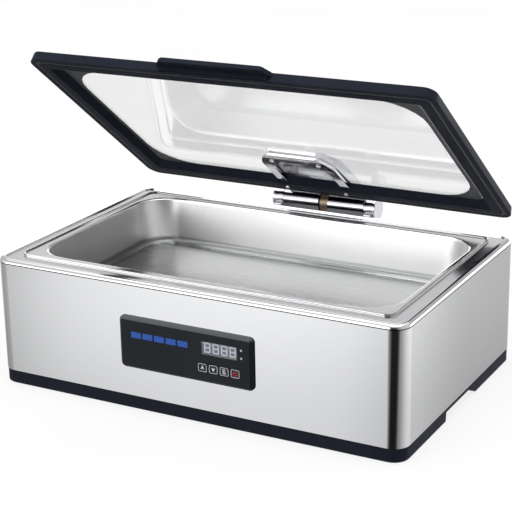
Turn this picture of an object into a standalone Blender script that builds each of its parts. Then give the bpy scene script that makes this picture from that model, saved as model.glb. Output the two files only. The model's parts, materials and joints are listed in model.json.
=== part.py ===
"""Electric food warmer with a hot-water bath: stainless body, food pan, damped glass lid.

Units are metres, +Z is up and the control panel faces -Y. The lid is built closed around
its hinge empty, which then turns it to the half-open resting angle.
"""

import math

import bmesh
import bpy
from mathutils import Vector

# ---------------------------------------------------------------- driving dimensions
FIT = 0.0003
BODY_WIDTH = 0.580
BODY_DEPTH = 0.3738
CENTRE_Y = -0.02147
CORNER_STEPS = 6
TURN_STEPS = 28

BODY_X = BODY_WIDTH / 2
BODY_Y = BODY_DEPTH / 2
BODY_RADIUS = 0.021
SHEET = 0.001
SHELL_FLANGE = 0.008
CUTTER_OVERRUN = 0.01

BASE_TOP = 0.0188
BASE_BOTTOM = 0.0005
BASE_INSET = 0.0008
BASE_WALL = 0.003
BASE_LEDGE = 0.025
GRIP_TOP = 0.0131
GRIP_FRONT = -0.0515
GRIP_FRONT_SLOPE = 0.0015
GRIP_REAR = 0.054
GRIP_REAR_SLOPE = 0.028
BASE_CHAMFER = 0.001
BOTTOM_PLATE_LOW = 0.0136
BOTTOM_PLATE_HIGH = 0.0152

SHELL_TOP = 0.1680
RIM_TOP = 0.1738
RIM_ROUND = 0.007
RIM_LAND = 0.002
DECK_TOP = 0.1720
DECK_SHEET = 0.0012
DECK_HOLE_X = 0.2585
DECK_HOLE_Y = 0.1505

PAN_X = 0.2647
PAN_Y = 0.1622
PAN_FLANGE_RADIUS = 0.012
PAN_MOUTH_X = 0.2570
PAN_MOUTH_Y = 0.1490
PAN_MOUTH_RADIUS = 0.050
PAN_FLOOR = 0.110
PAN_BEAD_TOP = 0.1752
PAN_SHEET = 0.0009
PAN_FLANGE_SHEET = 0.001
PAN_DRAFT = 0.0115
PAN_FOOT = 0.008
PAN_FOOT_RADIUS = 0.034
PAN_FLOOR_INSET = 0.012
PAN_MOUTH_ROUND = 0.0035

TANK_FLOOR = 0.088
TANK_FLOOR_X = 0.238
TANK_FLOOR_Y = 0.128
TANK_FLOOR_RADIUS = 0.028
TANK_FOOT = 0.010
TANK_MOUTH_X = 0.2572
TANK_MOUTH_Y = 0.1492
TANK_MOUTH_RADIUS = 0.047
TANK_FLANGE_X = 0.2700
TANK_FLANGE_Y = 0.1660
TANK_LIP = 0.0015
HEATER_RADIUS = 0.004
HEATER_Z = TANK_FLOOR - SHEET - HEATER_RADIUS - 2 * FIT
HEATER_REACH = 0.205
HEATER_PITCH = 0.052
HEATER_RUNS = 4
INSULATION_THICKNESS = 0.010
TRAY_X = 0.2405
TRAY_Y = 0.1305
TRAY_RADIUS = 0.011
TRAY_FLOOR_INSET = 0.0105

PANEL_X = 0.0003
PANEL_Z = 0.0928
PANEL_WIDTH = 0.191
PANEL_HEIGHT = 0.0695
PANEL_DEPTH = 0.0058
PANEL_CHAMFER = 0.004
PANEL_BACK = -BODY_Y - FIT
PANEL_FACE = PANEL_BACK - PANEL_DEPTH
SHELL_WINDOW_X = 0.175
SHELL_WINDOW_Z = 0.055

BAR_COUNT = 5
BAR_WIDTH = 0.0145
BAR_HEIGHT = 0.0078
BAR_PITCH = 0.01685
BAR_CENTRE_X = -0.0357
BAR_Z = 0.1047
DISPLAY_X = 0.0500
DISPLAY_Z = 0.1050
DISPLAY_WIDTH = 0.0490
DISPLAY_HEIGHT = 0.0165
DIGIT_PITCH = 0.0118
DIGIT_WIDTH = 0.0086
DIGIT_HEIGHT = 0.0132
DIGIT_STROKE = 0.0016
KEY_NAMES = ("key_up", "key_down", "key_set", "key_power")
KEY_CENTRE_X = 0.0490
KEY_PITCH = 0.0153
KEY_Z = 0.0788
KEY_WIDTH = 0.0124
KEY_HEIGHT = 0.0110
KEY_PROUD = 0.0005
KEY_TRAVEL = 0.0008
INDICATOR_X = 0.0805
INDICATOR_HEIGHTS = {"indicator_run": 0.1104, "indicator_heat": 0.1000}
INDICATOR_RADIUS = 0.0013

CONTROL_BOARD_WIDTH = 0.168
CONTROL_BOARD_HEIGHT = 0.050
CHIP_SIDE = 0.014
MODULE_RECESS = 0.0040
DIGIT_DEPTH = 0.0008

HINGE_X = -0.003
HINGE_Y = 0.2165
HINGE_Z = 0.1744
BARREL_RADIUS = 0.0165
BARREL_INNER = 0.0070
BARREL_OUTER = 0.0640
BARREL_CAVITY = 0.0125
BARREL_WALL = 0.004
KNUCKLE_OUTER = 0.0765
CAP_OUTER = 0.0804
PIN_RADIUS = 0.006
BUSH_RADIUS = 0.0138
BRACKET_SHEET = 0.003
BRACKET_LOW = 0.118
BRACKET_HIGH = 0.1670
BRACKET_ARM_LOW = 0.148
BRACKET_ARM_HIGH = 0.1705
BRACKET_SCREW_X = 0.050
BRACKET_SCREW_Z = 0.132
BRACKET_SCREW_SHANK = 0.0020
BRACKET_SCREW_HEAD = 0.0042
SPRING_RADIUS = 0.0094
SPRING_WIRE = 0.0011
SPRING_TURNS = 6
DAMPER_RADIUS = 0.0114
LID_OPEN = math.radians(37.7)

LID_X = 0.2842
LID_Y = 0.18405
LID_HEIGHT = 0.0130
LID_RADIUS = 0.018
LID_BORDER = 0.0241
LID_TAPER = 0.0024
LID_REBATE = 0.0172
LEDGE_INSET_X = 0.0330
LEDGE_INSET_Y = 0.0365
LEDGE_RADIUS = 0.012
LID_CENTRE_Y = 0.00245
LID_REAR = LID_CENTRE_Y + LID_Y
LID_BOTTOM_Z = 0.1756
GLASS_BOTTOM = 0.0085
GLASS_TOP = 0.0125
MASK_INSET_X = 0.0390
MASK_INSET_Y = 0.0385
MASK_RADIUS = 0.057
GROOVE_OUTER = 0.0070
GROOVE_INNER = 0.0113
GROOVE_DEPTH = 0.0025
LOOP_FRONT = 0.0675
LOOP_BAND = 0.0205
LOOP_NOSE_HALF = 0.0400
LOOP_HOLE_NOSE_HALF = 0.0280
LOOP_BOTTOM = 0.0032
LOOP_TOP = 0.0074
LOOP_OUTER_HALF = 0.0555
LOOP_INNER_HALF = 0.0420
LEG_POCKET_GAP = 0.0008
COVER_BOTTOM = 0.0133
COVER_TOP = 0.0270
COVER_NOSE_TOP = 0.0232
COVER_FRONT = 0.0800
COVER_HALF_WIDTH = 0.0635
COVER_NOSE_HALF = 0.0435
COVER_SHOULDER_HALF = 0.0540
COVER_POST_X = 0.027
COVER_POST_Y = 0.1365
COVER_SLOPE_START = 0.163
COVER_HOLLOW_REAR = 0.160
SHOULDER_DEPTH = 0.030
SCREW_TIP = 0.0195
COVER_WALL = 0.0025
GASKET_INSET = 0.0008
HANDLE_X = -0.0055
HANDLE_REACH = 0.0160
HANDLE_CORNER = 0.008
HANDLE_BASE_HALF = 0.0805
HANDLE_TIP_HALF = 0.0750
HANDLE_LOW = 0.0065
HANDLE_WEB_LOW = 0.0015
HANDLE_CROWN = 0.0018
CLAMP_SCREW_X = 0.0355
CLAMP_SCREW_Y = 0.0864
FRAME_SCREW_X = 0.0459
FRAME_SCREW_Y = 0.1729
SCREW_SHANK = 0.0015
SCREW_HOLE = 0.0018
SCREW_HEAD = 0.0034

INLET_X = 0.190
INLET_Z = 0.050
INLET_WIDTH = 0.0270
INLET_HEIGHT = 0.0195
INLET_FLANGE_WIDTH = 0.048
INLET_FLANGE_HEIGHT = 0.029
INLET_FLANGE = 0.0025
INLET_DEPTH = 0.020
INLET_WALL = 0.0015
CONTACT_PITCH = 0.007
CONTACT_STAGGER = 0.002
CONTACT_WIDTH = 0.002
CONTACT_HEIGHT = 0.004
CONTACT_LENGTH = 0.0125

FOOT_X = 0.250
FOOT_Y = 0.145
FOOT_RADIUS = 0.0120
FOOT_TOP_RADIUS = 0.0095
FOOT_EDGE = 0.0012

BOARD_Z = 0.0235
BOARD_SHEET = 0.0016
BOARD_CENTRE = (-0.155, -0.005)
BOARD_SIZE = (0.120, 0.090)
STANDOFF_INSET = 0.005
STANDOFF_RADIUS = 0.003


# ---------------------------------------------------------------- scene and materials
def clear_scene():
    for item in list(bpy.data.objects):
        bpy.data.objects.remove(item, do_unlink=True)


def make_collection(name):
    collection = bpy.data.collections.new(name)
    bpy.context.scene.collection.children.link(collection)
    return collection


def make_material(name, color, roughness, metallic=0.0, transmission=0.0, glow=0.0):
    material = bpy.data.materials.new(name)
    material.use_nodes = True
    shader = material.node_tree.nodes["Principled BSDF"]
    shader.inputs["Base Color"].default_value = (*color, 1.0)
    shader.inputs["Roughness"].default_value = roughness
    shader.inputs["Metallic"].default_value = metallic
    shader.inputs["Transmission Weight"].default_value = transmission
    shader.inputs["Emission Color"].default_value = (*color, 1.0)
    shader.inputs["Emission Strength"].default_value = glow
    return material


clear_scene()
PARTS = make_collection("food_warmer")
CUTTERS = make_collection("cutters")

STEEL = make_material("brushed_steel", (0.68, 0.68, 0.69), 0.28, 1.0)
POLISHED = make_material("polished_steel", (0.80, 0.80, 0.81), 0.12, 1.0)
CHROME = make_material("chrome", (0.84, 0.85, 0.87), 0.06, 1.0)
BRONZE = make_material("bronze", (0.36, 0.25, 0.16), 0.40, 1.0)
SPRING_STEEL = make_material("spring_steel", (0.40, 0.40, 0.42), 0.35, 1.0)
BLACK = make_material("black_plastic", (0.020, 0.023, 0.032), 0.42)
PANEL_BLACK = make_material("panel_black", (0.016, 0.018, 0.024), 0.50)
KEY_BLACK = make_material("key_black", (0.012, 0.013, 0.017), 0.45)
RUBBER = make_material("black_rubber", (0.014, 0.014, 0.015), 0.80)
SILICONE = make_material("grey_silicone", (0.09, 0.09, 0.10), 0.65)
GLASS = make_material("clear_glass", (0.92, 0.95, 0.95), 0.02, 0.0, 0.95)
MASK = make_material("black_frit", (0.020, 0.020, 0.022), 0.30)
SMOKE = make_material("smoked_lens", (0.18, 0.19, 0.22), 0.08, 0.0, 0.80)
LED_BLUE = make_material("blue_led", (0.020, 0.10, 0.75), 0.35, 0.0, 0.0, 0.8)
LED_WHITE = make_material("white_led", (0.75, 0.78, 0.84), 0.40, 0.0, 0.0, 0.6)
BOARD = make_material("circuit_board", (0.02, 0.16, 0.07), 0.50)
WOOL = make_material("insulation", (0.82, 0.80, 0.72), 0.95)


# ---------------------------------------------------------------- shape helpers
def link(item, collection=PARTS):
    collection.objects.link(item)
    return item


def finish(item, material, parent=None):
    """Give the piece its one material and hang it on its parent empty."""
    item.data.materials.clear()
    item.data.materials.append(material)
    item.parent = parent
    return item


def mesh_object(name, mesh_builder, collection=PARTS):
    mesh = bpy.data.meshes.new(name)
    mesh_builder.normal_update()
    mesh_builder.to_mesh(mesh)
    mesh_builder.free()
    return link(bpy.data.objects.new(name, mesh), collection)


def rounded_rectangle(half_x, half_y, radius, centre_y=0.0, steps=CORNER_STEPS):
    """Counter-clockwise outline with the same number of points for every radius."""
    points = []
    corners = ((1, 1), (-1, 1), (-1, -1), (1, -1))
    for quarter, (side_x, side_y) in enumerate(corners):
        middle_x = side_x * (half_x - radius)
        middle_y = centre_y + side_y * (half_y - radius)
        for step in range(steps + 1):
            angle = math.pi / 2 * (quarter + step / steps)
            points.append((middle_x + radius * math.cos(angle), middle_y + radius * math.sin(angle)))
    return points


def lofted(name, sections, closed, centre_y=0.0, collection=PARTS):
    """Skin rounded rectangles (half x, half y, radius, z) listed in order along the section.

    The corner radius changes from one section to the next. A closed loft joins its last
    section to its first and makes a ring; an open one has a flat cap at each end.
    """
    builder = bmesh.new()
    loops = []
    for half_x, half_y, radius, height in sections:
        outline = rounded_rectangle(half_x, half_y, radius, centre_y)
        loops.append([builder.verts.new((x, y, height)) for x, y in outline])
    pairs = list(zip(loops, loops[1:]))
    if closed:
        pairs.append((loops[-1], loops[0]))
    else:
        builder.faces.new(loops[0])
        builder.faces.new(reversed(loops[-1]))
    for lower, upper in pairs:
        for index in range(len(lower)):
            following = (index + 1) % len(lower)
            builder.faces.new((lower[index], upper[index], upper[following], lower[following]))
    bmesh.ops.recalc_face_normals(builder, faces=builder.faces)
    return mesh_object(name, builder, collection)


def inset_section(half_x, half_y, radius, inset, height, least_radius=0.003):
    return (half_x - inset, half_y - inset, max(radius - inset, least_radius), height)


def box(name, low, high, collection=PARTS, bevel=0.0):
    """Axis-aligned block between two corners, with optional rounded edges."""
    size = [upper - lower for lower, upper in zip(low, high)]
    middle = [(upper + lower) / 2 for lower, upper in zip(low, high)]
    builder = bmesh.new()
    bmesh.ops.create_cube(builder, size=1.0)
    bmesh.ops.scale(builder, vec=size, verts=builder.verts)
    block = mesh_object(name, builder, collection)
    block.location = middle
    if bevel:
        rounding = block.modifiers.new("Rounded", "BEVEL")
        rounding.width = bevel
        rounding.segments = 2
    return block


def cylinder(name, radius, start, end, axis, centre, collection=PARTS, segments=TURN_STEPS):
    """Solid round bar from start to end along axis (0, 1 or 2) through centre."""
    builder = bmesh.new()
    bmesh.ops.create_cone(
        builder, cap_ends=True, segments=segments, radius1=radius, radius2=radius, depth=end - start
    )
    bar = mesh_object(name, builder, collection)
    place = list(centre)
    place[axis] = (start + end) / 2
    bar.location = place
    if axis == 0:
        bar.rotation_euler = (0.0, math.pi / 2, 0.0)
    if axis == 1:
        bar.rotation_euler = (math.pi / 2, 0.0, 0.0)
    return bar


def turned(name, profile, solid, steps=TURN_STEPS):
    """Turn a (radius, height) profile about Z with a Screw modifier.

    The profile runs down the outer side from top to bottom. A ring's profile is closed.
    """
    builder = bmesh.new()
    points = [builder.verts.new((radius, 0.0, height)) for radius, height in profile]
    for first, second in zip(points, points[1:]):
        builder.edges.new((first, second))
    if not solid:
        builder.edges.new((points[-1], points[0]))
    piece = mesh_object(name, builder)
    screw = piece.modifiers.new("Turn", "SCREW")
    screw.axis = "Z"
    screw.angle = math.tau
    screw.steps = steps
    screw.render_steps = steps
    screw.use_merge_vertices = True
    screw.merge_threshold = 0.00001
    return piece


def plate_from_outline(name, outlines, low, high, collection=PARTS):
    """Flat plate cut to 2D outlines (the first is the edge, the others are holes)."""
    curve = bpy.data.curves.new(name, "CURVE")
    curve.dimensions = "2D"
    curve.fill_mode = "BOTH"
    curve.extrude = (high - low) / 2
    for outline in outlines:
        spline = curve.splines.new("POLY")
        spline.points.add(len(outline) - 1)
        for point, (x, y) in zip(spline.points, outline):
            point.co = (x, y, 0.0, 1.0)
        spline.use_cyclic_u = True
    drawing = link(bpy.data.objects.new(name + "_outline", curve), collection)
    drawing.location = (0.0, 0.0, (high + low) / 2)
    return curve_to_mesh(drawing, name, collection)


def tube(name, route, radius, cyclic=False, bevel_resolution=2):
    """Round rod or tube along a route of points."""
    curve = bpy.data.curves.new(name, "CURVE")
    curve.dimensions = "3D"
    curve.bevel_depth = radius
    curve.bevel_resolution = bevel_resolution
    curve.use_fill_caps = True
    spline = curve.splines.new("POLY")
    spline.points.add(len(route) - 1)
    for point, place in zip(spline.points, route):
        point.co = (*place, 1.0)
    spline.use_cyclic_u = cyclic
    drawing = link(bpy.data.objects.new(name + "_route", curve))
    return curve_to_mesh(drawing, name, PARTS)


def curve_to_mesh(drawing, name, collection):
    bpy.context.view_layer.update()
    evaluated = drawing.evaluated_get(bpy.context.evaluated_depsgraph_get())
    mesh = bpy.data.meshes.new_from_object(evaluated)
    builder = bmesh.new()
    builder.from_mesh(mesh)
    bmesh.ops.remove_doubles(builder, verts=builder.verts, dist=0.000001)
    bmesh.ops.recalc_face_normals(builder, faces=builder.faces)
    builder.to_mesh(mesh)
    builder.free()
    mesh.name = name
    piece = link(bpy.data.objects.new(name, mesh), collection)
    piece.matrix_world = drawing.matrix_world.copy()
    bpy.data.objects.remove(drawing, do_unlink=True)
    return piece


def combine(target, tool, operation):
    """Boolean with a hidden helper, which moves to the cutters' collection."""
    if tool.name in PARTS.objects:
        PARTS.objects.unlink(tool)
        CUTTERS.objects.link(tool)
    modifier = target.modifiers.new(operation.title(), "BOOLEAN")
    modifier.operation = operation
    modifier.solver = "EXACT"
    modifier.object = tool
    tool.hide_render = True
    tool.display_type = "WIRE"


def cut(target, tool):
    combine(target, tool, "DIFFERENCE")


def weld(target, tool):
    combine(target, tool, "UNION")


def along_x(piece):
    """Lay a piece turned about Z along the X axis."""
    piece.rotation_euler = (0.0, math.pi / 2, 0.0)
    return piece


def arc(centre, radius, start, end, steps):
    """Points of an arc, angles in degrees."""
    points = []
    for step in range(steps + 1):
        angle = math.radians(start + (end - start) * step / steps)
        points.append((centre[0] + radius * math.cos(angle), centre[1] + radius * math.sin(angle)))
    return points


def make_empty(name, location, parent=None):
    empty = link(bpy.data.objects.new(name, None))
    empty.empty_display_size = 0.03
    empty.location = location
    empty.parent = parent
    return empty


# ---------------------------------------------------------------- body
def make_base(root):
    """Moulded plinth with a lifting notch cut through each side, and the steel bottom plate."""
    half_x = BODY_X - BASE_INSET
    half_y = BODY_Y - BASE_INSET
    radius = BODY_RADIUS - BASE_INSET
    top = BASE_TOP - FIT
    ledge_low = top - BASE_WALL
    below = BASE_BOTTOM - 0.01
    sections = [
        inset_section(half_x, half_y, radius, BASE_CHAMFER, BASE_BOTTOM),
        inset_section(half_x, half_y, radius, 0.0, BASE_BOTTOM + BASE_CHAMFER),
        inset_section(half_x, half_y, radius, 0.0, top),
        inset_section(half_x, half_y, radius, BASE_LEDGE, top),
        inset_section(half_x, half_y, radius, BASE_LEDGE, ledge_low),
        inset_section(half_x, half_y, radius, BASE_WALL, ledge_low),
        inset_section(half_x, half_y, radius, BASE_WALL, BASE_BOTTOM),
    ]
    base = lofted("base_frame", sections, closed=True)
    grip = [
        (GRIP_FRONT, below),
        (GRIP_REAR, below),
        (GRIP_REAR, 0.0),
        (GRIP_REAR - GRIP_REAR_SLOPE, GRIP_TOP),
        (GRIP_FRONT + GRIP_FRONT_SLOPE, GRIP_TOP),
        (GRIP_FRONT, 0.0),
    ]
    cutter = plate_from_outline("grip_cutter", [grip], -BODY_WIDTH, BODY_WIDTH, CUTTERS)
    cutter.rotation_euler = (math.pi / 2, 0.0, math.pi / 2)
    cut(base, cutter)
    finish(base, BLACK, root)

    plate_x = half_x - BASE_WALL - 2 * FIT
    plate_y = half_y - BASE_WALL - 2 * FIT
    plate_outline = rounded_rectangle(plate_x, plate_y, radius - BASE_WALL)
    plate = plate_from_outline("bottom_plate", [plate_outline], BOTTOM_PLATE_LOW, BOTTOM_PLATE_HIGH)
    finish(plate, STEEL, root)


def make_feet(root):
    top = BOTTOM_PLATE_LOW - FIT
    profile = [
        (0.0, top),
        (FOOT_TOP_RADIUS, top),
        (FOOT_RADIUS, FOOT_EDGE),
        (FOOT_RADIUS - FOOT_EDGE * 2 / 3, 0.0),
        (0.0, 0.0),
    ]
    places = {
        "foot_front_left": (-FOOT_X, -FOOT_Y),
        "foot_front_right": (FOOT_X, -FOOT_Y),
        "foot_rear_left": (-FOOT_X, FOOT_Y),
        "foot_rear_right": (FOOT_X, FOOT_Y),
    }
    for name, (x, y) in places.items():
        foot = turned(name, profile, solid=True, steps=20)
        foot.location = (x, y, 0.0)
        finish(foot, RUBBER, root)


def make_shell(root):
    """Wrapped steel body, flanged inwards top and bottom, with the panel and inlet windows."""
    low = BASE_TOP
    high = SHELL_TOP - FIT
    sections = [
        inset_section(BODY_X, BODY_Y, BODY_RADIUS, 0.0, low),
        inset_section(BODY_X, BODY_Y, BODY_RADIUS, 0.0, high),
        inset_section(BODY_X, BODY_Y, BODY_RADIUS, SHELL_FLANGE, high),
        inset_section(BODY_X, BODY_Y, BODY_RADIUS, SHELL_FLANGE, high - SHEET),
        inset_section(BODY_X, BODY_Y, BODY_RADIUS, SHEET, high - SHEET),
        inset_section(BODY_X, BODY_Y, BODY_RADIUS, SHEET, low + SHEET),
        inset_section(BODY_X, BODY_Y, BODY_RADIUS, SHELL_FLANGE, low + SHEET),
        inset_section(BODY_X, BODY_Y, BODY_RADIUS, SHELL_FLANGE, low),
    ]
    shell = lofted("outer_shell", sections, closed=True)
    window = box(
        "panel_window_cutter",
        (PANEL_X - SHELL_WINDOW_X / 2, -BODY_Y - CUTTER_OVERRUN, PANEL_Z - SHELL_WINDOW_Z / 2),
        (PANEL_X + SHELL_WINDOW_X / 2, -BODY_Y + CUTTER_OVERRUN, PANEL_Z + SHELL_WINDOW_Z / 2),
        CUTTERS,
    )
    cut(shell, window)
    reach_x = INLET_WIDTH / 2 + 2 * FIT
    reach_z = INLET_HEIGHT / 2 + 2 * FIT
    socket = box(
        "inlet_window_cutter",
        (INLET_X - reach_x, BODY_Y - CUTTER_OVERRUN, INLET_Z - reach_z),
        (INLET_X + reach_x, BODY_Y + CUTTER_OVERRUN, INLET_Z + reach_z),
        CUTTERS,
    )
    cut(shell, socket)
    finish(shell, STEEL, root)


def make_rim(root):
    """Pressed top deck with a rounded outer band and the opening that the pan hangs in."""
    sections = []
    round_steps = 4
    rise = RIM_TOP - SHELL_TOP
    for step in range(round_steps + 1):
        angle = math.pi / 2 * step / round_steps
        inset = RIM_ROUND * (1 - math.cos(angle))
        sections.append(
            inset_section(BODY_X, BODY_Y, BODY_RADIUS, inset, SHELL_TOP + rise * math.sin(angle))
        )
    land = RIM_ROUND + RIM_LAND
    sections += [
        inset_section(BODY_X, BODY_Y, BODY_RADIUS, land, RIM_TOP),
        inset_section(BODY_X, BODY_Y, BODY_RADIUS, land, DECK_TOP),
        (DECK_HOLE_X, DECK_HOLE_Y, PAN_MOUTH_RADIUS, DECK_TOP),
        (DECK_HOLE_X, DECK_HOLE_Y, PAN_MOUTH_RADIUS, DECK_TOP - DECK_SHEET),
        inset_section(BODY_X, BODY_Y, BODY_RADIUS, land - DECK_SHEET, DECK_TOP - DECK_SHEET),
        inset_section(BODY_X, BODY_Y, BODY_RADIUS, DECK_SHEET, SHELL_TOP),
    ]
    rim = lofted("rim_frame", sections, closed=True)
    finish(rim, POLISHED, root)


def make_food_pan(root):
    """Full-size steam-table pan: beaded flange, tapered walls, radiused floor."""
    flange_top = DECK_TOP + FIT + PAN_FLANGE_SHEET
    foot_steps = 3
    mouth_steps = 3
    wall_top = flange_top - PAN_MOUTH_ROUND
    floor_x = PAN_MOUTH_X - PAN_DRAFT - PAN_FOOT
    floor_y = PAN_MOUTH_Y - PAN_DRAFT - PAN_FOOT
    inner = [inset_section(floor_x, floor_y, PAN_FOOT_RADIUS, PAN_FLOOR_INSET, PAN_FLOOR)]
    for step in range(foot_steps + 1):
        angle = math.pi / 2 * step / foot_steps
        reach = PAN_FOOT * math.sin(angle)
        rise = PAN_FOOT * (1 - math.cos(angle))
        inner.append((floor_x + reach, floor_y + reach, PAN_FOOT_RADIUS + reach, PAN_FLOOR + rise))
    for step in range(mouth_steps + 1):
        angle = math.pi / 2 * step / mouth_steps
        reach = PAN_MOUTH_ROUND * math.cos(angle)
        height = wall_top + PAN_MOUTH_ROUND * math.sin(angle)
        inner.append(inset_section(PAN_MOUTH_X, PAN_MOUTH_Y, PAN_MOUTH_RADIUS, reach, height))
    bead_radius = 0.0013
    bead = [(bead_radius * 2.15, flange_top)]
    for angle in (155, 90, 45, 0):
        reach = bead_radius * (1 - math.cos(math.radians(angle)))
        bead.append((reach, PAN_BEAD_TOP - bead_radius * (1 - math.sin(math.radians(angle)))))
    bead.append((0.0, DECK_TOP + FIT))
    rim = [inset_section(PAN_X, PAN_Y, PAN_FLANGE_RADIUS, inset, height) for inset, height in bead]
    outer = [(PAN_MOUTH_X, PAN_MOUTH_Y, PAN_MOUTH_RADIUS, DECK_TOP + FIT)]
    skin = PAN_MOUTH_ROUND - PAN_SHEET
    outer.append(inset_section(PAN_MOUTH_X, PAN_MOUTH_Y, PAN_MOUTH_RADIUS, skin, wall_top))
    for half_x, half_y, radius, height in reversed(inner[1 : foot_steps + 2]):
        side = PAN_SHEET * (height - PAN_FLOOR) / PAN_FOOT
        drop = PAN_SHEET - side
        outer.append((half_x + side, half_y + side, radius + side, height - drop))
    outer.append((inner[0][0], inner[0][1], inner[0][2], PAN_FLOOR - PAN_SHEET))
    pan = lofted("food_pan", inner + rim + outer, closed=False)
    finish(pan, STEEL, root)


def make_water_tank(root):
    """Inner tank that holds the hot water and hangs from the deck."""
    flange_top = DECK_TOP - DECK_SHEET - FIT
    floor = (TANK_FLOOR_X, TANK_FLOOR_Y, TANK_FLOOR_RADIUS)
    mouth = (TANK_MOUTH_X, TANK_MOUTH_Y, TANK_MOUTH_RADIUS)
    flange = (TANK_FLANGE_X, TANK_FLANGE_Y, PAN_FLANGE_RADIUS)
    inner = [
        inset_section(*floor, 0.0, TANK_FLOOR),
        inset_section(*floor, -0.6 * TANK_FOOT, TANK_FLOOR + 0.15 * TANK_FOOT),
        inset_section(*floor, -TANK_FOOT, TANK_FLOOR + 0.6 * TANK_FOOT),
        inset_section(*mouth, TANK_LIP, flange_top - TANK_LIP),
        inset_section(*mouth, 0.0, flange_top),
        inset_section(*flange, 0.0, flange_top),
    ]
    outer = [
        inset_section(*flange, 0.0, flange_top - SHEET),
        inset_section(*mouth, -SHEET, flange_top - SHEET),
        inset_section(*mouth, TANK_LIP - SHEET, flange_top - SHEET - TANK_LIP),
        inset_section(*floor, -TANK_FOOT - SHEET, TANK_FLOOR + 0.5 * TANK_FOOT),
        inset_section(*floor, -0.65 * TANK_FOOT, TANK_FLOOR),
        inset_section(*floor, 0.0, TANK_FLOOR - SHEET),
    ]
    tank = lofted("water_tank", inner + outer, closed=False)
    finish(tank, STEEL, root)


def make_heater(root):
    """Flat serpentine element under the tank, with its insulation and steel cover tray."""
    turn_steps = 6
    turn_radius = HEATER_PITCH / 2
    route = []
    for run in range(HEATER_RUNS):
        y = (run - (HEATER_RUNS - 1) / 2) * HEATER_PITCH
        direction = 1 if run % 2 == 0 else -1
        route.append((-direction * HEATER_REACH, y, HEATER_Z))
        route.append((direction * HEATER_REACH, y, HEATER_Z))
        if run < HEATER_RUNS - 1:
            middle = y + turn_radius
            for step in range(1, turn_steps):
                angle = -math.pi / 2 + math.pi * step / turn_steps
                x = direction * (HEATER_REACH + turn_radius * math.cos(angle))
                route.append((x, middle + turn_radius * math.sin(angle), HEATER_Z))
    element = tube("heating_element", route, HEATER_RADIUS)
    finish(element, SPRING_STEEL, root)

    pad_top = HEATER_Z - HEATER_RADIUS - FIT
    pad_low = pad_top - INSULATION_THICKNESS
    pad_inset = SHEET + 5 * FIT
    pad_outline = rounded_rectangle(TRAY_X - pad_inset, TRAY_Y - pad_inset, TRAY_RADIUS - SHEET)
    pad = plate_from_outline("insulation_pad", [pad_outline], pad_low, pad_top)
    finish(pad, WOOL, root)

    tray_low = pad_low - FIT - SHEET
    tray_high = TANK_FLOOR - SHEET - FIT
    sections = [
        inset_section(TRAY_X, TRAY_Y, TRAY_RADIUS, TRAY_FLOOR_INSET, tray_low + SHEET),
        inset_section(TRAY_X, TRAY_Y, TRAY_RADIUS, SHEET, tray_low + SHEET),
        inset_section(TRAY_X, TRAY_Y, TRAY_RADIUS, SHEET, tray_high),
        inset_section(TRAY_X, TRAY_Y, TRAY_RADIUS, 0.0, tray_high),
        inset_section(TRAY_X, TRAY_Y, TRAY_RADIUS, 0.0, tray_low),
        inset_section(TRAY_X, TRAY_Y, TRAY_RADIUS, TRAY_FLOOR_INSET, tray_low),
    ]
    tray = lofted("heater_tray", sections, closed=False)
    finish(tray, STEEL, root)

    sensor_top = TANK_FLOOR - SHEET - FIT
    sensor_low = pad_top + FIT
    waist = (sensor_top + sensor_low) / 2
    sensors = {"temperature_sensor": (0.0, 0.007), "thermal_cutout": (0.120, 0.010)}
    for name, (x, radius) in sensors.items():
        profile = [
            (0.0, sensor_top),
            (radius, sensor_top),
            (radius, waist),
            (radius * 0.6, waist),
            (radius * 0.6, sensor_low),
            (0.0, sensor_low),
        ]
        sensor = turned(name, profile, solid=True, steps=16)
        sensor.location = (x, 0.0, 0.0)
        finish(sensor, BRONZE, root)


def make_power_board(root):
    """Supply board on four stand-offs, with its relay, transformer and terminal block."""
    x, y = BOARD_CENTRE
    half_x = BOARD_SIZE[0] / 2
    half_y = BOARD_SIZE[1] / 2
    board = box(
        "power_board", (x - half_x, y - half_y, BOARD_Z), (x + half_x, y + half_y, BOARD_Z + BOARD_SHEET)
    )
    # Each block: middle from the board's middle, length, width and height above the board's base.
    blocks = {
        "relay": (-0.0375, -0.025, 0.025, 0.020, 0.018),
        "transformer": (0.010, -0.005, 0.040, 0.040, 0.032),
        "terminal_block": (-0.0225, 0.022, 0.055, 0.014, 0.014),
    }
    for name, (off_x, off_y, length, width, height) in blocks.items():
        low = (x + off_x - length / 2, y + off_y - width / 2, BOARD_Z)
        high = (x + off_x + length / 2, y + off_y + width / 2, BOARD_Z + height)
        weld(board, box(name, low, high, CUTTERS))
    leg_x = half_x - STANDOFF_INSET
    leg_y = half_y - STANDOFF_INSET
    for side_x in (-1, 1):
        for side_y in (-1, 1):
            place = (x + side_x * leg_x, y + side_y * leg_y, 0.0)
            low = BOTTOM_PLATE_HIGH + FIT
            high = BOARD_Z + BOARD_SHEET / 3
            weld(board, cylinder("standoff", STANDOFF_RADIUS, low, high, 2, place, CUTTERS, 8))
    finish(board, BOARD, root)


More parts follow.
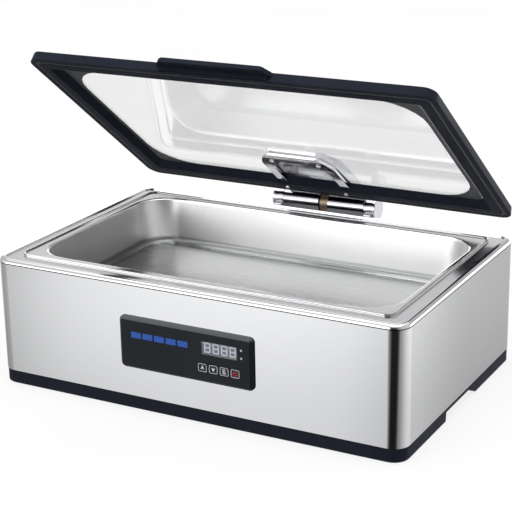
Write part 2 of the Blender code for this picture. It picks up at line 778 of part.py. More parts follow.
def make_power_inlet(root):
    """Appliance inlet in the rear wall, with its contact pins on a rear block."""
    flange_low = BODY_Y + FIT
    flange_high = flange_low + INLET_FLANGE
    back = flange_high - INLET_DEPTH
    flange_x = INLET_FLANGE_WIDTH / 2
    flange_z = INLET_FLANGE_HEIGHT / 2
    inlet = box(
        "power_inlet",
        (INLET_X - flange_x, flange_low, INLET_Z - flange_z),
        (INLET_X + flange_x, flange_high, INLET_Z + flange_z),
        bevel=0.0006,
    )
    low = (INLET_X - INLET_WIDTH / 2, back, INLET_Z - INLET_HEIGHT / 2)
    high = (INLET_X + INLET_WIDTH / 2, flange_low + INLET_FLANGE / 2, INLET_Z + INLET_HEIGHT / 2)
    weld(inlet, box("inlet_housing", low, high, CUTTERS))
    cavity = box(
        "inlet_cavity_cutter",
        (low[0] + INLET_WALL, back - CUTTER_OVERRUN, low[2] + INLET_WALL),
        (high[0] - INLET_WALL, flange_high + CUTTER_OVERRUN, high[2] - INLET_WALL),
        CUTTERS,
    )
    cut(inlet, cavity)
    finish(inlet, BLACK, root)

    block_front = back + 0.003
    block_back = back - 0.006
    inside = INLET_WALL + FIT
    contacts = box(
        "inlet_contacts",
        (low[0] + inside, block_back, low[2] + inside),
        (high[0] - inside, block_front, high[2] - inside),
    )
    for index in (-1, 0, 1):
        x = INLET_X + index * CONTACT_PITCH
        z = INLET_Z + (CONTACT_STAGGER if index == 0 else -CONTACT_STAGGER)
        pin = box(
            "contact_pin",
            (x - CONTACT_WIDTH / 2, block_back + CONTACT_WIDTH, z - CONTACT_HEIGHT / 2),
            (x + CONTACT_WIDTH / 2, back + CONTACT_LENGTH, z + CONTACT_HEIGHT / 2),
            CUTTERS,
        )
        weld(contacts, pin)
    finish(contacts, SPRING_STEEL, root)


# ---------------------------------------------------------------- control panel
def face_box(name, x, z, width, height, front, back, collection=PARTS):
    """Block centred on (x, z) of the front panel between two depths."""
    low = (x - width / 2, front, z - height / 2)
    high = (x + width / 2, back, z + height / 2)
    return box(name, low, high, collection)


def key_position(index):
    return KEY_CENTRE_X + (index - (len(KEY_NAMES) - 1) / 2) * KEY_PITCH


def make_bezel(root):
    """Black front plate with bevelled edges and a window for each control."""
    half_x = PANEL_WIDTH / 2
    half_z = PANEL_HEIGHT / 2
    radius = 0.007
    flat = PANEL_DEPTH - PANEL_CHAMFER * 0.75
    sections = [
        inset_section(half_x, half_z, radius, 0.0, 0.0),
        inset_section(half_x, half_z, radius, 0.0, flat * 0.5),
        inset_section(half_x, half_z, radius, PANEL_CHAMFER * 0.2, flat),
        inset_section(half_x, half_z, radius, PANEL_CHAMFER, PANEL_DEPTH),
    ]
    bezel = lofted("control_bezel", sections, closed=False)
    bezel.location = (PANEL_X, PANEL_BACK, PANEL_Z)
    bezel.rotation_euler = (math.pi / 2, 0.0, 0.0)
    front = PANEL_FACE - 0.005
    back = PANEL_BACK + 0.005
    gap = 2 * FIT
    width = DISPLAY_WIDTH + gap
    height = DISPLAY_HEIGHT + gap
    cut(bezel, face_box("display_cutter", DISPLAY_X, DISPLAY_Z, width, height, front, back, CUTTERS))
    for index in range(BAR_COUNT):
        x = BAR_CENTRE_X + (index - (BAR_COUNT - 1) / 2) * BAR_PITCH
        cut(bezel, face_box("bar_cutter", x, BAR_Z, BAR_WIDTH + gap, BAR_HEIGHT + gap, front, back, CUTTERS))
    for index in range(len(KEY_NAMES)):
        x = key_position(index)
        cut(bezel, face_box("key_cutter", x, KEY_Z, KEY_WIDTH + gap, KEY_HEIGHT + gap, front, back, CUTTERS))
    for height in INDICATOR_HEIGHTS.values():
        place = (INDICATOR_X, 0.0, height)
        hole = cylinder("indicator_cutter", INDICATOR_RADIUS + FIT, front, back, 1, place, CUTTERS, 12)
        cut(bezel, hole)
    finish(bezel, PANEL_BLACK, root)


def figure_eight_outlines():
    """Outline of a seven-segment figure eight: an edge and two holes, corners cut off."""
    half_x = DIGIT_WIDTH / 2
    half_z = DIGIT_HEIGHT / 2
    cut_off = DIGIT_STROKE * 0.6
    edge = [
        (half_x - cut_off, half_z),
        (-half_x + cut_off, half_z),
        (-half_x, half_z - cut_off),
        (-half_x, -half_z + cut_off),
        (-half_x + cut_off, -half_z),
        (half_x - cut_off, -half_z),
        (half_x, -half_z + cut_off),
        (half_x, half_z - cut_off),
    ]
    outlines = [edge]
    inner_x = half_x - DIGIT_STROKE
    bar = DIGIT_STROKE / 2
    top = half_z - DIGIT_STROKE
    for low, high in ((bar, top), (-top, -bar)):
        outlines.append([(-inner_x, low), (inner_x, low), (inner_x, high), (-inner_x, high)])
    return outlines


def make_display(root):
    module_front = PANEL_FACE + MODULE_RECESS
    module_back = PANEL_BACK + 0.0045
    size = (DISPLAY_WIDTH, DISPLAY_HEIGHT)
    module = face_box("display_module", DISPLAY_X, DISPLAY_Z, *size, module_front, module_back)
    finish(module, PANEL_BLACK, root)
    for index in range(4):
        x = DISPLAY_X + (index - 1.5) * DIGIT_PITCH
        digit = plate_from_outline(f"digit_{index + 1}", figure_eight_outlines(), 0.0, DIGIT_DEPTH)
        digit.rotation_euler = (math.pi / 2, 0.0, 0.0)
        digit.location = (x, module_front - FIT - DIGIT_DEPTH / 2, DISPLAY_Z)
        finish(digit, LED_WHITE, root)
    lens_back = module_front - DIGIT_DEPTH - 2 * FIT
    lens = face_box("display_lens", DISPLAY_X, DISPLAY_Z, *size, PANEL_FACE + FIT, lens_back)
    finish(lens, SMOKE, root)


def make_led_strip(root):
    backing_front = PANEL_BACK + FIT
    strip = face_box(
        "led_bar_strip",
        BAR_CENTRE_X,
        BAR_Z,
        BAR_PITCH * BAR_COUNT,
        BAR_HEIGHT + 0.004,
        backing_front,
        backing_front + 0.002,
    )
    for index in range(BAR_COUNT):
        x = BAR_CENTRE_X + (index - (BAR_COUNT - 1) / 2) * BAR_PITCH
        front = PANEL_FACE + 0.0002
        weld(strip, face_box("bar", x, BAR_Z, BAR_WIDTH, BAR_HEIGHT, front, backing_front + 0.001, CUTTERS))
    finish(strip, LED_BLUE, root)
    for name, height in INDICATOR_HEIGHTS.items():
        length = PANEL_DEPTH + 0.003
        profile = [
            (0.0, length + 0.0004),
            (INDICATOR_RADIUS * 0.6, length + 0.0002),
            (INDICATOR_RADIUS, length - 0.0003),
            (INDICATOR_RADIUS, 0.0),
            (0.0, 0.0),
        ]
        lamp = turned(name, profile, solid=True, steps=12)
        lamp.rotation_euler = (math.pi / 2, 0.0, 0.0)
        lamp.location = (INDICATOR_X, PANEL_BACK + 0.003, height)
        finish(lamp, LED_WHITE, root)


def make_keys(root):
    """Four sprung keys, each free to slide back into the bezel."""
    flange_front = PANEL_BACK + FIT
    flange_back = flange_front + 0.001
    for index, name in enumerate(KEY_NAMES):
        x = key_position(index)
        slide = make_empty(name + "_slide", (x, PANEL_FACE, KEY_Z), root)
        cap = face_box(name, 0.0, 0.0, KEY_WIDTH, KEY_HEIGHT, -KEY_PROUD, flange_back - PANEL_FACE)
        skirt = face_box(
            name + "_skirt",
            x,
            KEY_Z,
            KEY_WIDTH + 0.0018,
            KEY_HEIGHT + 0.0018,
            flange_front,
            flange_back,
            CUTTERS,
        )
        skirt.parent = root
        weld(cap, skirt)
        finish(cap, KEY_BLACK, slide)
    mat_front = flange_back + KEY_TRAVEL + FIT
    mat_back = mat_front + 0.0012
    mat = face_box(
        "key_mat", KEY_CENTRE_X, KEY_Z, KEY_PITCH * 4, KEY_HEIGHT + 0.003, mat_front, mat_back
    )
    finish(mat, SILICONE, root)
    board_front = PANEL_BACK + 0.0045 + FIT
    board_back = board_front + BOARD_SHEET
    board_size = (CONTROL_BOARD_WIDTH, CONTROL_BOARD_HEIGHT)
    board = face_box("control_board", PANEL_X, PANEL_Z, *board_size, board_front, board_back)
    chip_shape = (PANEL_X, PANEL_Z - CHIP_SIDE / 2, CHIP_SIDE, CHIP_SIDE)
    chip = face_box("chip", *chip_shape, board_back - FIT, board_back + 0.0019, CUTTERS)
    weld(board, chip)
    finish(board, BOARD, root)


# ---------------------------------------------------------------- hinge, body side
def make_hinge_bracket(root):
    """Rear plate with two end knuckles that carry the hinge pin."""
    plate_front = BODY_Y + FIT
    plate_back = plate_front + BRACKET_SHEET
    bracket = box(
        "hinge_bracket",
        (HINGE_X - KNUCKLE_OUTER, plate_front, BRACKET_LOW),
        (HINGE_X + KNUCKLE_OUTER, plate_back, BRACKET_HIGH),
    )
    inner = BARREL_OUTER + FIT
    for side in (-1, 1):
        near = HINGE_X + side * inner
        far = HINGE_X + side * KNUCKLE_OUTER
        low, high = min(near, far), max(near, far)
        centre = (0.0, HINGE_Y, HINGE_Z)
        knuckle = cylinder("knuckle", BARREL_RADIUS, low, high, 0, centre, CUTTERS)
        weld(bracket, knuckle)
        arm_low = (low, plate_front + BRACKET_SHEET / 3, BRACKET_ARM_LOW)
        arm_high = (high, HINGE_Y, BRACKET_ARM_HIGH)
        weld(bracket, box("arm", arm_low, arm_high, CUTTERS))
        bore = cylinder(
            "bore_cutter", PIN_RADIUS + FIT, low - 0.002, high + 0.002, 0, centre, CUTTERS, 20
        )
        cut(bracket, bore)
    for side in (-1, 1):
        place = (HINGE_X + side * BRACKET_SCREW_X, 0.0, BRACKET_SCREW_Z)
        radius = BRACKET_SCREW_SHANK + FIT
        start = plate_front - CUTTER_OVERRUN
        end = plate_back + CUTTER_OVERRUN
        cut(bracket, cylinder("screw_cutter", radius, start, end, 1, place, CUTTERS, 12))
    finish(bracket, CHROME, root)

    head_height = BRACKET_SCREW_HEAD / 2
    depth = BRACKET_SHEET - FIT
    head_profile = [
        (0.0, head_height),
        (BRACKET_SCREW_HEAD * 0.6, head_height * 0.8),
        (BRACKET_SCREW_HEAD, head_height * 0.25),
        (BRACKET_SCREW_HEAD, 0.0),
        (BRACKET_SCREW_SHANK, 0.0),
        (BRACKET_SCREW_SHANK, -depth),
        (0.0, -depth),
    ]
    for side, name in ((-1, "bracket_screw_left"), (1, "bracket_screw_right")):
        screw = turned(name, head_profile, solid=True, steps=16)
        screw.rotation_euler = (-math.pi / 2, 0.0, 0.0)
        screw.location = (HINGE_X + side * BRACKET_SCREW_X, plate_back + FIT, BRACKET_SCREW_Z)
        finish(screw, SPRING_STEEL, root)


def make_pin_and_caps(root):
    pin = cylinder(
        "hinge_pin",
        PIN_RADIUS,
        HINGE_X - KNUCKLE_OUTER,
        HINGE_X + KNUCKLE_OUTER,
        0,
        (0.0, HINGE_Y, HINGE_Z),
        segments=20,
    )
    finish(pin, SPRING_STEEL, root)
    thickness = CAP_OUTER - KNUCKLE_OUTER - FIT
    edge = 0.0010
    profile = [
        (0.0, thickness),
        (BARREL_RADIUS - edge, thickness),
        (BARREL_RADIUS, thickness - edge),
        (BARREL_RADIUS, 0.0),
        (0.0, 0.0),
    ]
    for side, name in ((-1, "hinge_cap_left"), (1, "hinge_cap_right")):
        cap = turned(name, profile, solid=True)
        cap.rotation_euler = (0.0, side * math.pi / 2, 0.0)
        cap.location = (HINGE_X + side * (KNUCKLE_OUTER + FIT), HINGE_Y, HINGE_Z)
        finish(cap, CHROME, root)


def make_bush(root):
    half = BARREL_INNER - FIT
    shoulder = 0.0006
    bore = PIN_RADIUS + FIT
    profile = [
        (bore, half),
        (BUSH_RADIUS - shoulder, half),
        (BUSH_RADIUS, half - shoulder),
        (BUSH_RADIUS, -half + shoulder),
        (BUSH_RADIUS - shoulder, -half),
        (bore, -half),
    ]
    bush = along_x(turned("hinge_bush", profile, solid=False))
    bush.location = (HINGE_X, HINGE_Y, HINGE_Z)
    finish(bush, BRONZE, root)


def make_spring_and_damper(root):
    """Torsion spring in the left barrel and rotary damper in the right one."""
    cavity_start = BARREL_INNER + BARREL_WALL
    cavity_end = BARREL_OUTER - BARREL_WALL
    points_per_turn = 14
    last = SPRING_TURNS * points_per_turn
    margin = 0.003
    length = cavity_end - cavity_start - 2 * margin
    route = []
    for index in range(last + 1):
        angle = math.tau * index / points_per_turn
        x = HINGE_X - cavity_start - margin - length * index / last
        y = HINGE_Y + SPRING_RADIUS * math.cos(angle)
        z = HINGE_Z + SPRING_RADIUS * math.sin(angle)
        route.append((x, y, z))
    spring = tube("torsion_spring", route, SPRING_WIRE, bevel_resolution=1)
    finish(spring, SPRING_STEEL, root)

    half = length / 2
    bore = PIN_RADIUS + FIT
    profile = [(bore, half), (DAMPER_RADIUS, half), (DAMPER_RADIUS, -half), (bore, -half)]
    damper = along_x(turned("hinge_damper", profile, solid=False, steps=20))
    damper.location = (HINGE_X + (cavity_start + cavity_end) / 2, HINGE_Y, HINGE_Z)
    finish(damper, BLACK, root)


# ---------------------------------------------------------------- lid, built closed
def lid_section(inset, height, radius=None, inset_y=None):
    """Section of the lid's plan, inset from its outer edge, height above its underside.

    The front and rear edges take their own inset when one is given.
    """
    if radius is None:
        radius = max(LID_RADIUS - inset, 0.005)
    if inset_y is None:
        inset_y = inset
    return (LID_X - inset, LID_Y - inset_y, radius, height)


def to_hinge(piece, material, hinge):
    """Move a piece built on the lid's own plane into the hinge empty's space."""
    piece.location = piece.location + Vector((0.0, -HINGE_Y, LID_BOTTOM_Z - HINGE_Z))
    finish(piece, material, hinge)


def lid_cutter(tool, hinge):
    tool.location = tool.location + Vector((0.0, -HINGE_Y, LID_BOTTOM_Z - HINGE_Z))
    tool.parent = hinge
    return tool


def screw_bores(piece, hinge, centres, low, high):
    for x, y in centres:
        hole = cylinder("screw_hole", SCREW_HOLE, low, high, 2, (x, y, 0.0), CUTTERS, 12)
        cut(piece, lid_cutter(hole, hinge))


def clamp_screw_centres():
    return [(HINGE_X + side * CLAMP_SCREW_X, CLAMP_SCREW_Y) for side in (-1, 1)]


def frame_screw_centres():
    return [(HINGE_X + side * FRAME_SCREW_X, FRAME_SCREW_Y) for side in (-1, 1)]


def make_lid_frame(hinge):
    edge = 0.0016
    soft = edge * 0.3
    ledge_top = GLASS_BOTTOM - FIT
    lip = 0.0006
    sections = [
        lid_section(lip, 0.0),
        lid_section(0.0, lip),
        lid_section(LID_TAPER, LID_HEIGHT - edge, inset_y=0.0),
        lid_section(LID_TAPER + soft, LID_HEIGHT - soft, inset_y=soft),
        lid_section(LID_TAPER + edge, LID_HEIGHT, inset_y=edge),
        lid_section(LID_REBATE, LID_HEIGHT, 0.006),
        lid_section(LID_REBATE, ledge_top, 0.006),
        lid_section(LEDGE_INSET_X, ledge_top, LEDGE_RADIUS, LEDGE_INSET_Y),
        lid_section(LID_BORDER, lip, 0.005),
        lid_section(LID_BORDER - lip, 0.0, 0.005 + lip),
        lid_section(GROOVE_INNER, 0.0),
        lid_section(GROOVE_INNER, GROOVE_DEPTH),
        lid_section(GROOVE_OUTER, GROOVE_DEPTH),
        lid_section(GROOVE_OUTER, 0.0),
    ]
    frame = lofted("lid_frame", sections, closed=True, centre_y=LID_CENTRE_Y)
    to_hinge(frame, BLACK, hinge)
    for side in (-1, 1):
        near = HINGE_X + side * (LOOP_INNER_HALF - LEG_POCKET_GAP)
        far = HINGE_X + side * (LOOP_OUTER_HALF + LEG_POCKET_GAP)
        low = (min(near, far), LID_REAR - LEDGE_INSET_Y - LEG_POCKET_GAP, -LEG_POCKET_GAP)
        high = (max(near, far), LID_REAR - LID_BORDER, LOOP_TOP + FIT)
        cut(frame, lid_cutter(box("leg_pocket", low, high, CUTTERS), hinge))
    screw_bores(frame, hinge, frame_screw_centres(), -0.005, LID_HEIGHT + 0.005)

    inset_out = GROOVE_OUTER + FIT
    inset_in = GROOVE_INNER - FIT
    low = lip
    high = GROOVE_DEPTH - FIT
    seal_sections = [
        lid_section(inset_out, low),
        lid_section(inset_out, high),
        lid_section(inset_in, high),
        lid_section(inset_in, low),
    ]
    seal = lofted("lid_seal", seal_sections, closed=True, centre_y=LID_CENTRE_Y)
    to_hinge(seal, SILICONE, hinge)


def make_lid_glass(hinge):
    pane_inset = LID_REBATE + FIT
    pane_radius = 0.0055
    chamfer = 0.0005
    sections = [
        lid_section(pane_inset + chamfer, GLASS_BOTTOM, pane_radius),
        lid_section(pane_inset, GLASS_BOTTOM + chamfer, pane_radius),
        lid_section(pane_inset, GLASS_TOP - chamfer, pane_radius),
        lid_section(pane_inset + chamfer, GLASS_TOP, pane_radius),
    ]
    pane = lofted("lid_glass", sections, closed=False, centre_y=LID_CENTRE_Y)
    to_hinge(pane, GLASS, hinge)
    screw_bores(pane, hinge, clamp_screw_centres(), GLASS_BOTTOM - 0.005, GLASS_TOP + 0.005)

    low = GLASS_BOTTOM - 0.0006
    high = GLASS_BOTTOM - FIT
    band_x = LEDGE_INSET_X + FIT
    band_y = LEDGE_INSET_Y + FIT
    mask_sections = [
        lid_section(band_x, low, LEDGE_RADIUS, band_y),
        lid_section(band_x, high, LEDGE_RADIUS, band_y),
        lid_section(MASK_INSET_X, high, MASK_RADIUS, MASK_INSET_Y),
        lid_section(MASK_INSET_X, low, MASK_RADIUS, MASK_INSET_Y),
    ]
    mask = lofted("glass_border", mask_sections, closed=True, centre_y=LID_CENTRE_Y)
    to_hinge(mask, MASK, hinge)


def make_lid_handle(hinge):
    """Grip lip on the front edge, an angle piece fixed to the frame's front wall."""
    front = LID_CENTRE_Y - LID_Y - FIT
    tip = front - HANDLE_REACH + HANDLE_CORNER
    left = (HANDLE_X - HANDLE_TIP_HALF + HANDLE_CORNER, tip)
    right = (HANDLE_X + HANDLE_TIP_HALF - HANDLE_CORNER, tip)

    def lip_outline(inset):
        half = HANDLE_BASE_HALF - inset
        outline = [(HANDLE_X + half, front), (HANDLE_X - half, front)]
        outline += arc(left, HANDLE_CORNER - inset, 190, 270, 5)
        outline += arc(right, HANDLE_CORNER - inset, 270, 350, 5)
        return outline

    crest_low = LID_HEIGHT - HANDLE_CROWN
    handle = plate_from_outline("lid_handle", [lip_outline(0.0)], HANDLE_LOW, crest_low)
    web_half = HANDLE_BASE_HALF - 0.004
    strip = box(
        "handle_web",
        (HANDLE_X - web_half, front - 0.003, HANDLE_WEB_LOW),
        (HANDLE_X + web_half, front, HANDLE_LOW + 0.001),
        CUTTERS,
    )
    inner = lip_outline(HANDLE_CROWN)
    crest = plate_from_outline("handle_crest", [inner], crest_low - 0.001, LID_HEIGHT, CUTTERS)
    to_hinge(handle, BLACK, hinge)
    weld(handle, lid_cutter(strip, hinge))
    weld(handle, lid_cutter(crest, hinge))


def clamp_outline(front, rear, front_half, shoulder_half, rear_half):
    """Plan of the clamp parts: straight front edge, curved shoulders, sides to the rear."""
    shoulder = front + SHOULDER_DEPTH
    start = Vector((shoulder_half, shoulder))
    tip = Vector((shoulder_half - 0.0080, front + 0.0040))
    nose = Vector((front_half - 0.0056, front))
    steps = 6
    points = [(rear_half, rear), tuple(start)]
    for step in range(1, steps + 1):
        t = step / steps
        points.append(tuple((1 - t) ** 2 * start + 2 * t * (1 - t) * tip + t * t * nose))
    mirrored = [(-x, y) for x, y in reversed(points)]
    return [(HINGE_X + x, y) for x, y in points + mirrored]


def make_clamp_loop(hinge):
    """Chrome loop that clamps the pane from below, open towards the frame."""
    rear = LID_REAR - LID_BORDER - 0.0005
    outer_half = LOOP_OUTER_HALF
    inner_half = LOOP_INNER_HALF
    hole_front = LOOP_FRONT + LOOP_BAND
    outer = clamp_outline(LOOP_FRONT, rear, LOOP_NOSE_HALF, outer_half, outer_half)
    loop = plate_from_outline("clamp_loop", [outer], LOOP_BOTTOM, LOOP_TOP)
    hole = clamp_outline(hole_front, rear + 0.010, LOOP_HOLE_NOSE_HALF, inner_half, inner_half)
    opening = plate_from_outline("loop_cutter", [hole], LOOP_BOTTOM - 0.01, LOOP_TOP + 0.01, CUTTERS)
    to_hinge(loop, CHROME, hinge)
    cut(loop, lid_cutter(opening, hinge))
    screw_bores(loop, hinge, clamp_screw_centres(), LOOP_BOTTOM - 0.005, LOOP_TOP + 0.005)
    rounding = loop.modifiers.new("Rounded", "BEVEL")
    rounding.width = 0.0017
    rounding.segments = 3
    rounding.limit_method = "ANGLE"
    rounding.angle_limit = math.radians(50)

    gasket_rear = LID_REAR - MASK_INSET_Y - 0.002
    inset = GASKET_INSET
    edge = outer_half - inset
    gasket_outer = clamp_outline(LOOP_FRONT + inset, gasket_rear, LOOP_NOSE_HALF - inset, edge, edge)
    gasket = plate_from_outline("loop_gasket", [gasket_outer], LOOP_TOP + FIT, GLASS_BOTTOM - FIT)
    edge = inner_half + inset
    nose = LOOP_HOLE_NOSE_HALF + inset
    gasket_hole = clamp_outline(hole_front - inset, gasket_rear + 0.010, nose, edge, edge)
    low = LOOP_TOP - 0.005
    high = GLASS_BOTTOM + 0.005
    gasket_cutter = plate_from_outline("gasket_cutter", [gasket_hole], low, high, CUTTERS)
    to_hinge(gasket, RUBBER, hinge)
    cut(gasket, lid_cutter(gasket_cutter, hinge))
    screw_bores(gasket, hinge, clamp_screw_centres(), low, high)


def make_hinge_cover(hinge):
    """Cast hinge cover: hollow over the pane, solid over the frame, saddle on the barrel."""
    axis = (HINGE_Y, HINGE_Z - LID_BOTTOM_Z)
    saddle = BARREL_RADIUS + FIT
    hood = saddle + 0.0032
    side = [(COVER_FRONT, COVER_BOTTOM), (axis[0], COVER_BOTTOM), (axis[0], axis[1])]
    side += arc(axis, hood, -8, 75, 8)
    side += [
        (COVER_SLOPE_START, COVER_TOP),
        (COVER_FRONT + SHOULDER_DEPTH, COVER_TOP),
        (COVER_FRONT, COVER_NOSE_TOP),
    ]
    cover = plate_from_outline("hinge_cover", [side], -COVER_HALF_WIDTH, COVER_HALF_WIDTH)
    cover.rotation_euler = (math.pi / 2, 0.0, math.pi / 2)
    cover.location = (HINGE_X, 0.0, 0.0)

    rear = HINGE_Y + hood + 0.004
    rear_half = COVER_HALF_WIDTH - 0.0005
    plan = clamp_outline(COVER_FRONT, rear, COVER_NOSE_HALF, COVER_SHOULDER_HALF, rear_half)
    plan_block = plate_from_outline("cover_plan", [plan], -0.03, 0.04, CUTTERS)
    to_hinge(cover, CHROME, hinge)
    combine(cover, lid_cutter(plan_block, hinge), "INTERSECT")

    inner_nose = COVER_NOSE_HALF - COVER_WALL
    inner_side = COVER_SHOULDER_HALF - COVER_WALL
    hollow_front = COVER_FRONT + COVER_WALL
    hollow = clamp_outline(hollow_front, COVER_HOLLOW_REAR, inner_nose, inner_side, inner_side)
    ceiling = COVER_NOSE_TOP - COVER_WALL
    hollow_block = plate_from_outline("cover_hollow", [hollow], COVER_BOTTOM - 0.01, ceiling, CUTTERS)
    bosses = [(x, y, 0.0055) for x, y in clamp_screw_centres()]
    bosses += [(HINGE_X + end * COVER_POST_X, COVER_POST_Y, 0.0045) for end in (-1, 1)]
    for x, y, radius in bosses:
        boss = cylinder("boss", radius, COVER_BOTTOM - 0.02, COVER_TOP, 2, (x, y, 0.0), CUTTERS, 16)
        cut(hollow_block, lid_cutter(boss, hinge))
    cut(cover, lid_cutter(hollow_block, hinge))
    low = HINGE_X - COVER_HALF_WIDTH - 0.01
    high = HINGE_X + COVER_HALF_WIDTH + 0.01
    seat = cylinder("saddle_cutter", saddle, low, high, 0, (0.0, axis[0], axis[1]), CUTTERS, 48)
    cut(cover, lid_cutter(seat, hinge))
    screw_bores(cover, hinge, clamp_screw_centres(), COVER_BOTTOM - 0.005, SCREW_TIP + 0.001)
    screw_bores(cover, hinge, frame_screw_centres(), COVER_BOTTOM - 0.005, SCREW_TIP + 0.001)


def make_barrels(hinge):
    """Two chrome barrel halves that turn with the lid on the hinge pin."""
    bore = PIN_RADIUS + FIT
    edge = 0.0005
    length = BARREL_OUTER - BARREL_INNER
    profile = [
        (bore, length),
        (BARREL_RADIUS - edge, length),
        (BARREL_RADIUS, length - edge),
        (BARREL_RADIUS, edge),
        (BARREL_RADIUS - edge, 0.0),
        (bore, 0.0),
        (bore, BARREL_WALL),
        (BARREL_CAVITY, BARREL_WALL),
        (BARREL_CAVITY, length - BARREL_WALL),
        (bore, length - BARREL_WALL),
    ]
    for side, name in ((-1, "hinge_barrel_left"), (1, "hinge_barrel_right")):
        barrel = turned(name, profile, solid=False)
        barrel.rotation_euler = (0.0, side * math.pi / 2, 0.0)
        barrel.location = (HINGE_X + side * BARREL_INNER, 0.0, 0.0)
        finish(barrel, CHROME, hinge)


def make_lid_screws(hinge):
    """Pan-head screws from below: two through the loop and pane, two through the frame."""
    head = 0.0016
    sets = (
        ("clamp_screw", clamp_screw_centres(), LOOP_BOTTOM - FIT),
        ("frame_screw", frame_screw_centres(), -FIT),
    )
    for name, centres, seat in sets:
        length = SCREW_TIP - seat
        profile = [
            (0.0, length),
            (SCREW_SHANK, length),
            (SCREW_SHANK, 0.0),
            (SCREW_HEAD, 0.0),
            (SCREW_HEAD * 0.95, -head * 0.6),
            (SCREW_HEAD * 0.6, -head),
            (0.0, -head),
        ]
        for suffix, (x, y) in zip(("left", "right"), centres):
            screw = turned(f"{name}_{suffix}", profile, solid=True, steps=14)
            screw.location = (x, y, seat)
            to_hinge(screw, CHROME, hinge)


# ---------------------------------------------------------------- assembly
def smooth_round_pieces():
    """Shade every curved wall smoothly and keep the edges crisp."""
    crease = math.radians(32)
    for piece in PARTS.objects:
        if piece.type == "MESH":
            piece.data.shade_smooth()
            piece.data.set_sharp_from_angle(angle=crease)


def build():
    root = make_empty("appliance", (0.0, CENTRE_Y, 0.0))
    make_base(root)
    make_feet(root)
    make_shell(root)
    make_rim(root)
    make_food_pan(root)
    make_water_tank(root)
    make_heater(root)
    make_power_board(root)
    make_power_inlet(root)
    make_bezel(root)
    make_display(root)
    make_led_strip(root)
    make_keys(root)
    make_hinge_bracket(root)
    make_pin_and_caps(root)
    make_bush(root)
    make_spring_and_damper(root)

    hinge = make_empty("lid_hinge", (0.0, HINGE_Y, HINGE_Z), root)
    make_lid_frame(hinge)
    make_lid_glass(hinge)
    make_lid_handle(hinge)
    make_clamp_loop(hinge)
    make_hinge_cover(hinge)
    make_barrels(hinge)
    make_lid_screws(hinge)
    hinge.rotation_euler = (-LID_OPEN, 0.0, 0.0)

    for tool in CUTTERS.objects:
        if tool.parent is None:
            tool.parent = root
    smooth_round_pieces()
    bpy.context.view_layer.update()


build()
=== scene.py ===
import json
import math

import bmesh
import bpy
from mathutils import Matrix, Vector


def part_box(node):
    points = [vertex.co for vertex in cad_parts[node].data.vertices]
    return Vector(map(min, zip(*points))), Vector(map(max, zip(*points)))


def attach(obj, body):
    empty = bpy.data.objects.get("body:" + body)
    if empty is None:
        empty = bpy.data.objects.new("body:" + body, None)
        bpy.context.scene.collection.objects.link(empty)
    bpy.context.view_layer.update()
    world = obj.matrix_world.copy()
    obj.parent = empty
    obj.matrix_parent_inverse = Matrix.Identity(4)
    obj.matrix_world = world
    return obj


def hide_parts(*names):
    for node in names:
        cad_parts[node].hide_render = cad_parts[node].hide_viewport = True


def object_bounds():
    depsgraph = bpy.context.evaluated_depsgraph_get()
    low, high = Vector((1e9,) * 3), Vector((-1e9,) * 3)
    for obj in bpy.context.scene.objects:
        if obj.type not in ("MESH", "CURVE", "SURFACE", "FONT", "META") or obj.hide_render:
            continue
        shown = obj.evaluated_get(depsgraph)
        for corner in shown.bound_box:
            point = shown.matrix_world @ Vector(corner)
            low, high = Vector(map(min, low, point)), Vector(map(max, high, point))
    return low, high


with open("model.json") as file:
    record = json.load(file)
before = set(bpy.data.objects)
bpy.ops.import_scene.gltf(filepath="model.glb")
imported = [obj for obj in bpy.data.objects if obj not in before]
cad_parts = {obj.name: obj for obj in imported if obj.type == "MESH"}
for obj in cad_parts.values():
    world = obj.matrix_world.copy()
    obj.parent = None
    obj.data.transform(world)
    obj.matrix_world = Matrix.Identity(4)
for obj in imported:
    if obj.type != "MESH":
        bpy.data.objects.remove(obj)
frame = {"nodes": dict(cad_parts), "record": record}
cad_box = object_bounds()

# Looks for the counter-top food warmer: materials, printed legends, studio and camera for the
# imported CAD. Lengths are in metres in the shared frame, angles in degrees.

# The camera stands in front of the right-hand corner, as far off as a product photographer would.
CAMERA_PLACE = (0.91788, -1.69498, 0.80183)
CAMERA_TURN = (71.41659, 1.06290, 28.44929)
CAMERA_LENS = 107.36
CAMERA_SENSOR = 36.0
CAMERA_NEAR, CAMERA_FAR = 0.05, 30.0

# Stretches of a texture: below 1, its marks are drawn out along that axis.
EVENLY = (1.0, 1.0, 1.0)
ALONG_X = (0.02, 1.0, 1.0)
UP_THE_WALL = (1.0, 1.0, 0.002)
NO_TURN = (0.0, 0.0, 0.0)
# A noise texture's values lie mostly between these two.
TEXTURE_LOW, TEXTURE_HIGH = 0.3, 0.7

WHITE = (1.0, 1.0, 1.0)
STEEL_TINT = (0.70, 0.705, 0.715)
# Painted shade: a dark tint standing in for the shadow in the gap between the shell and the deck.
SEAM_SHADE_TINT = (0.09, 0.09, 0.095)
# Depths below the shell's top edge where the painted shade of the seam starts and is full.
SEAM_START, SEAM_FULL = 0.0012, 0.00084
DECK_TINT = (0.76, 0.765, 0.775)
# Share of the deck's colour left on its outer band: a painted dark reflection.
DECK_BAND_REFLECTION_SHARE = (0.72, 0.72, 0.72)
# The depth that a full bump in the steel's grain stands for.
GRAIN_DEPTH = 0.0004
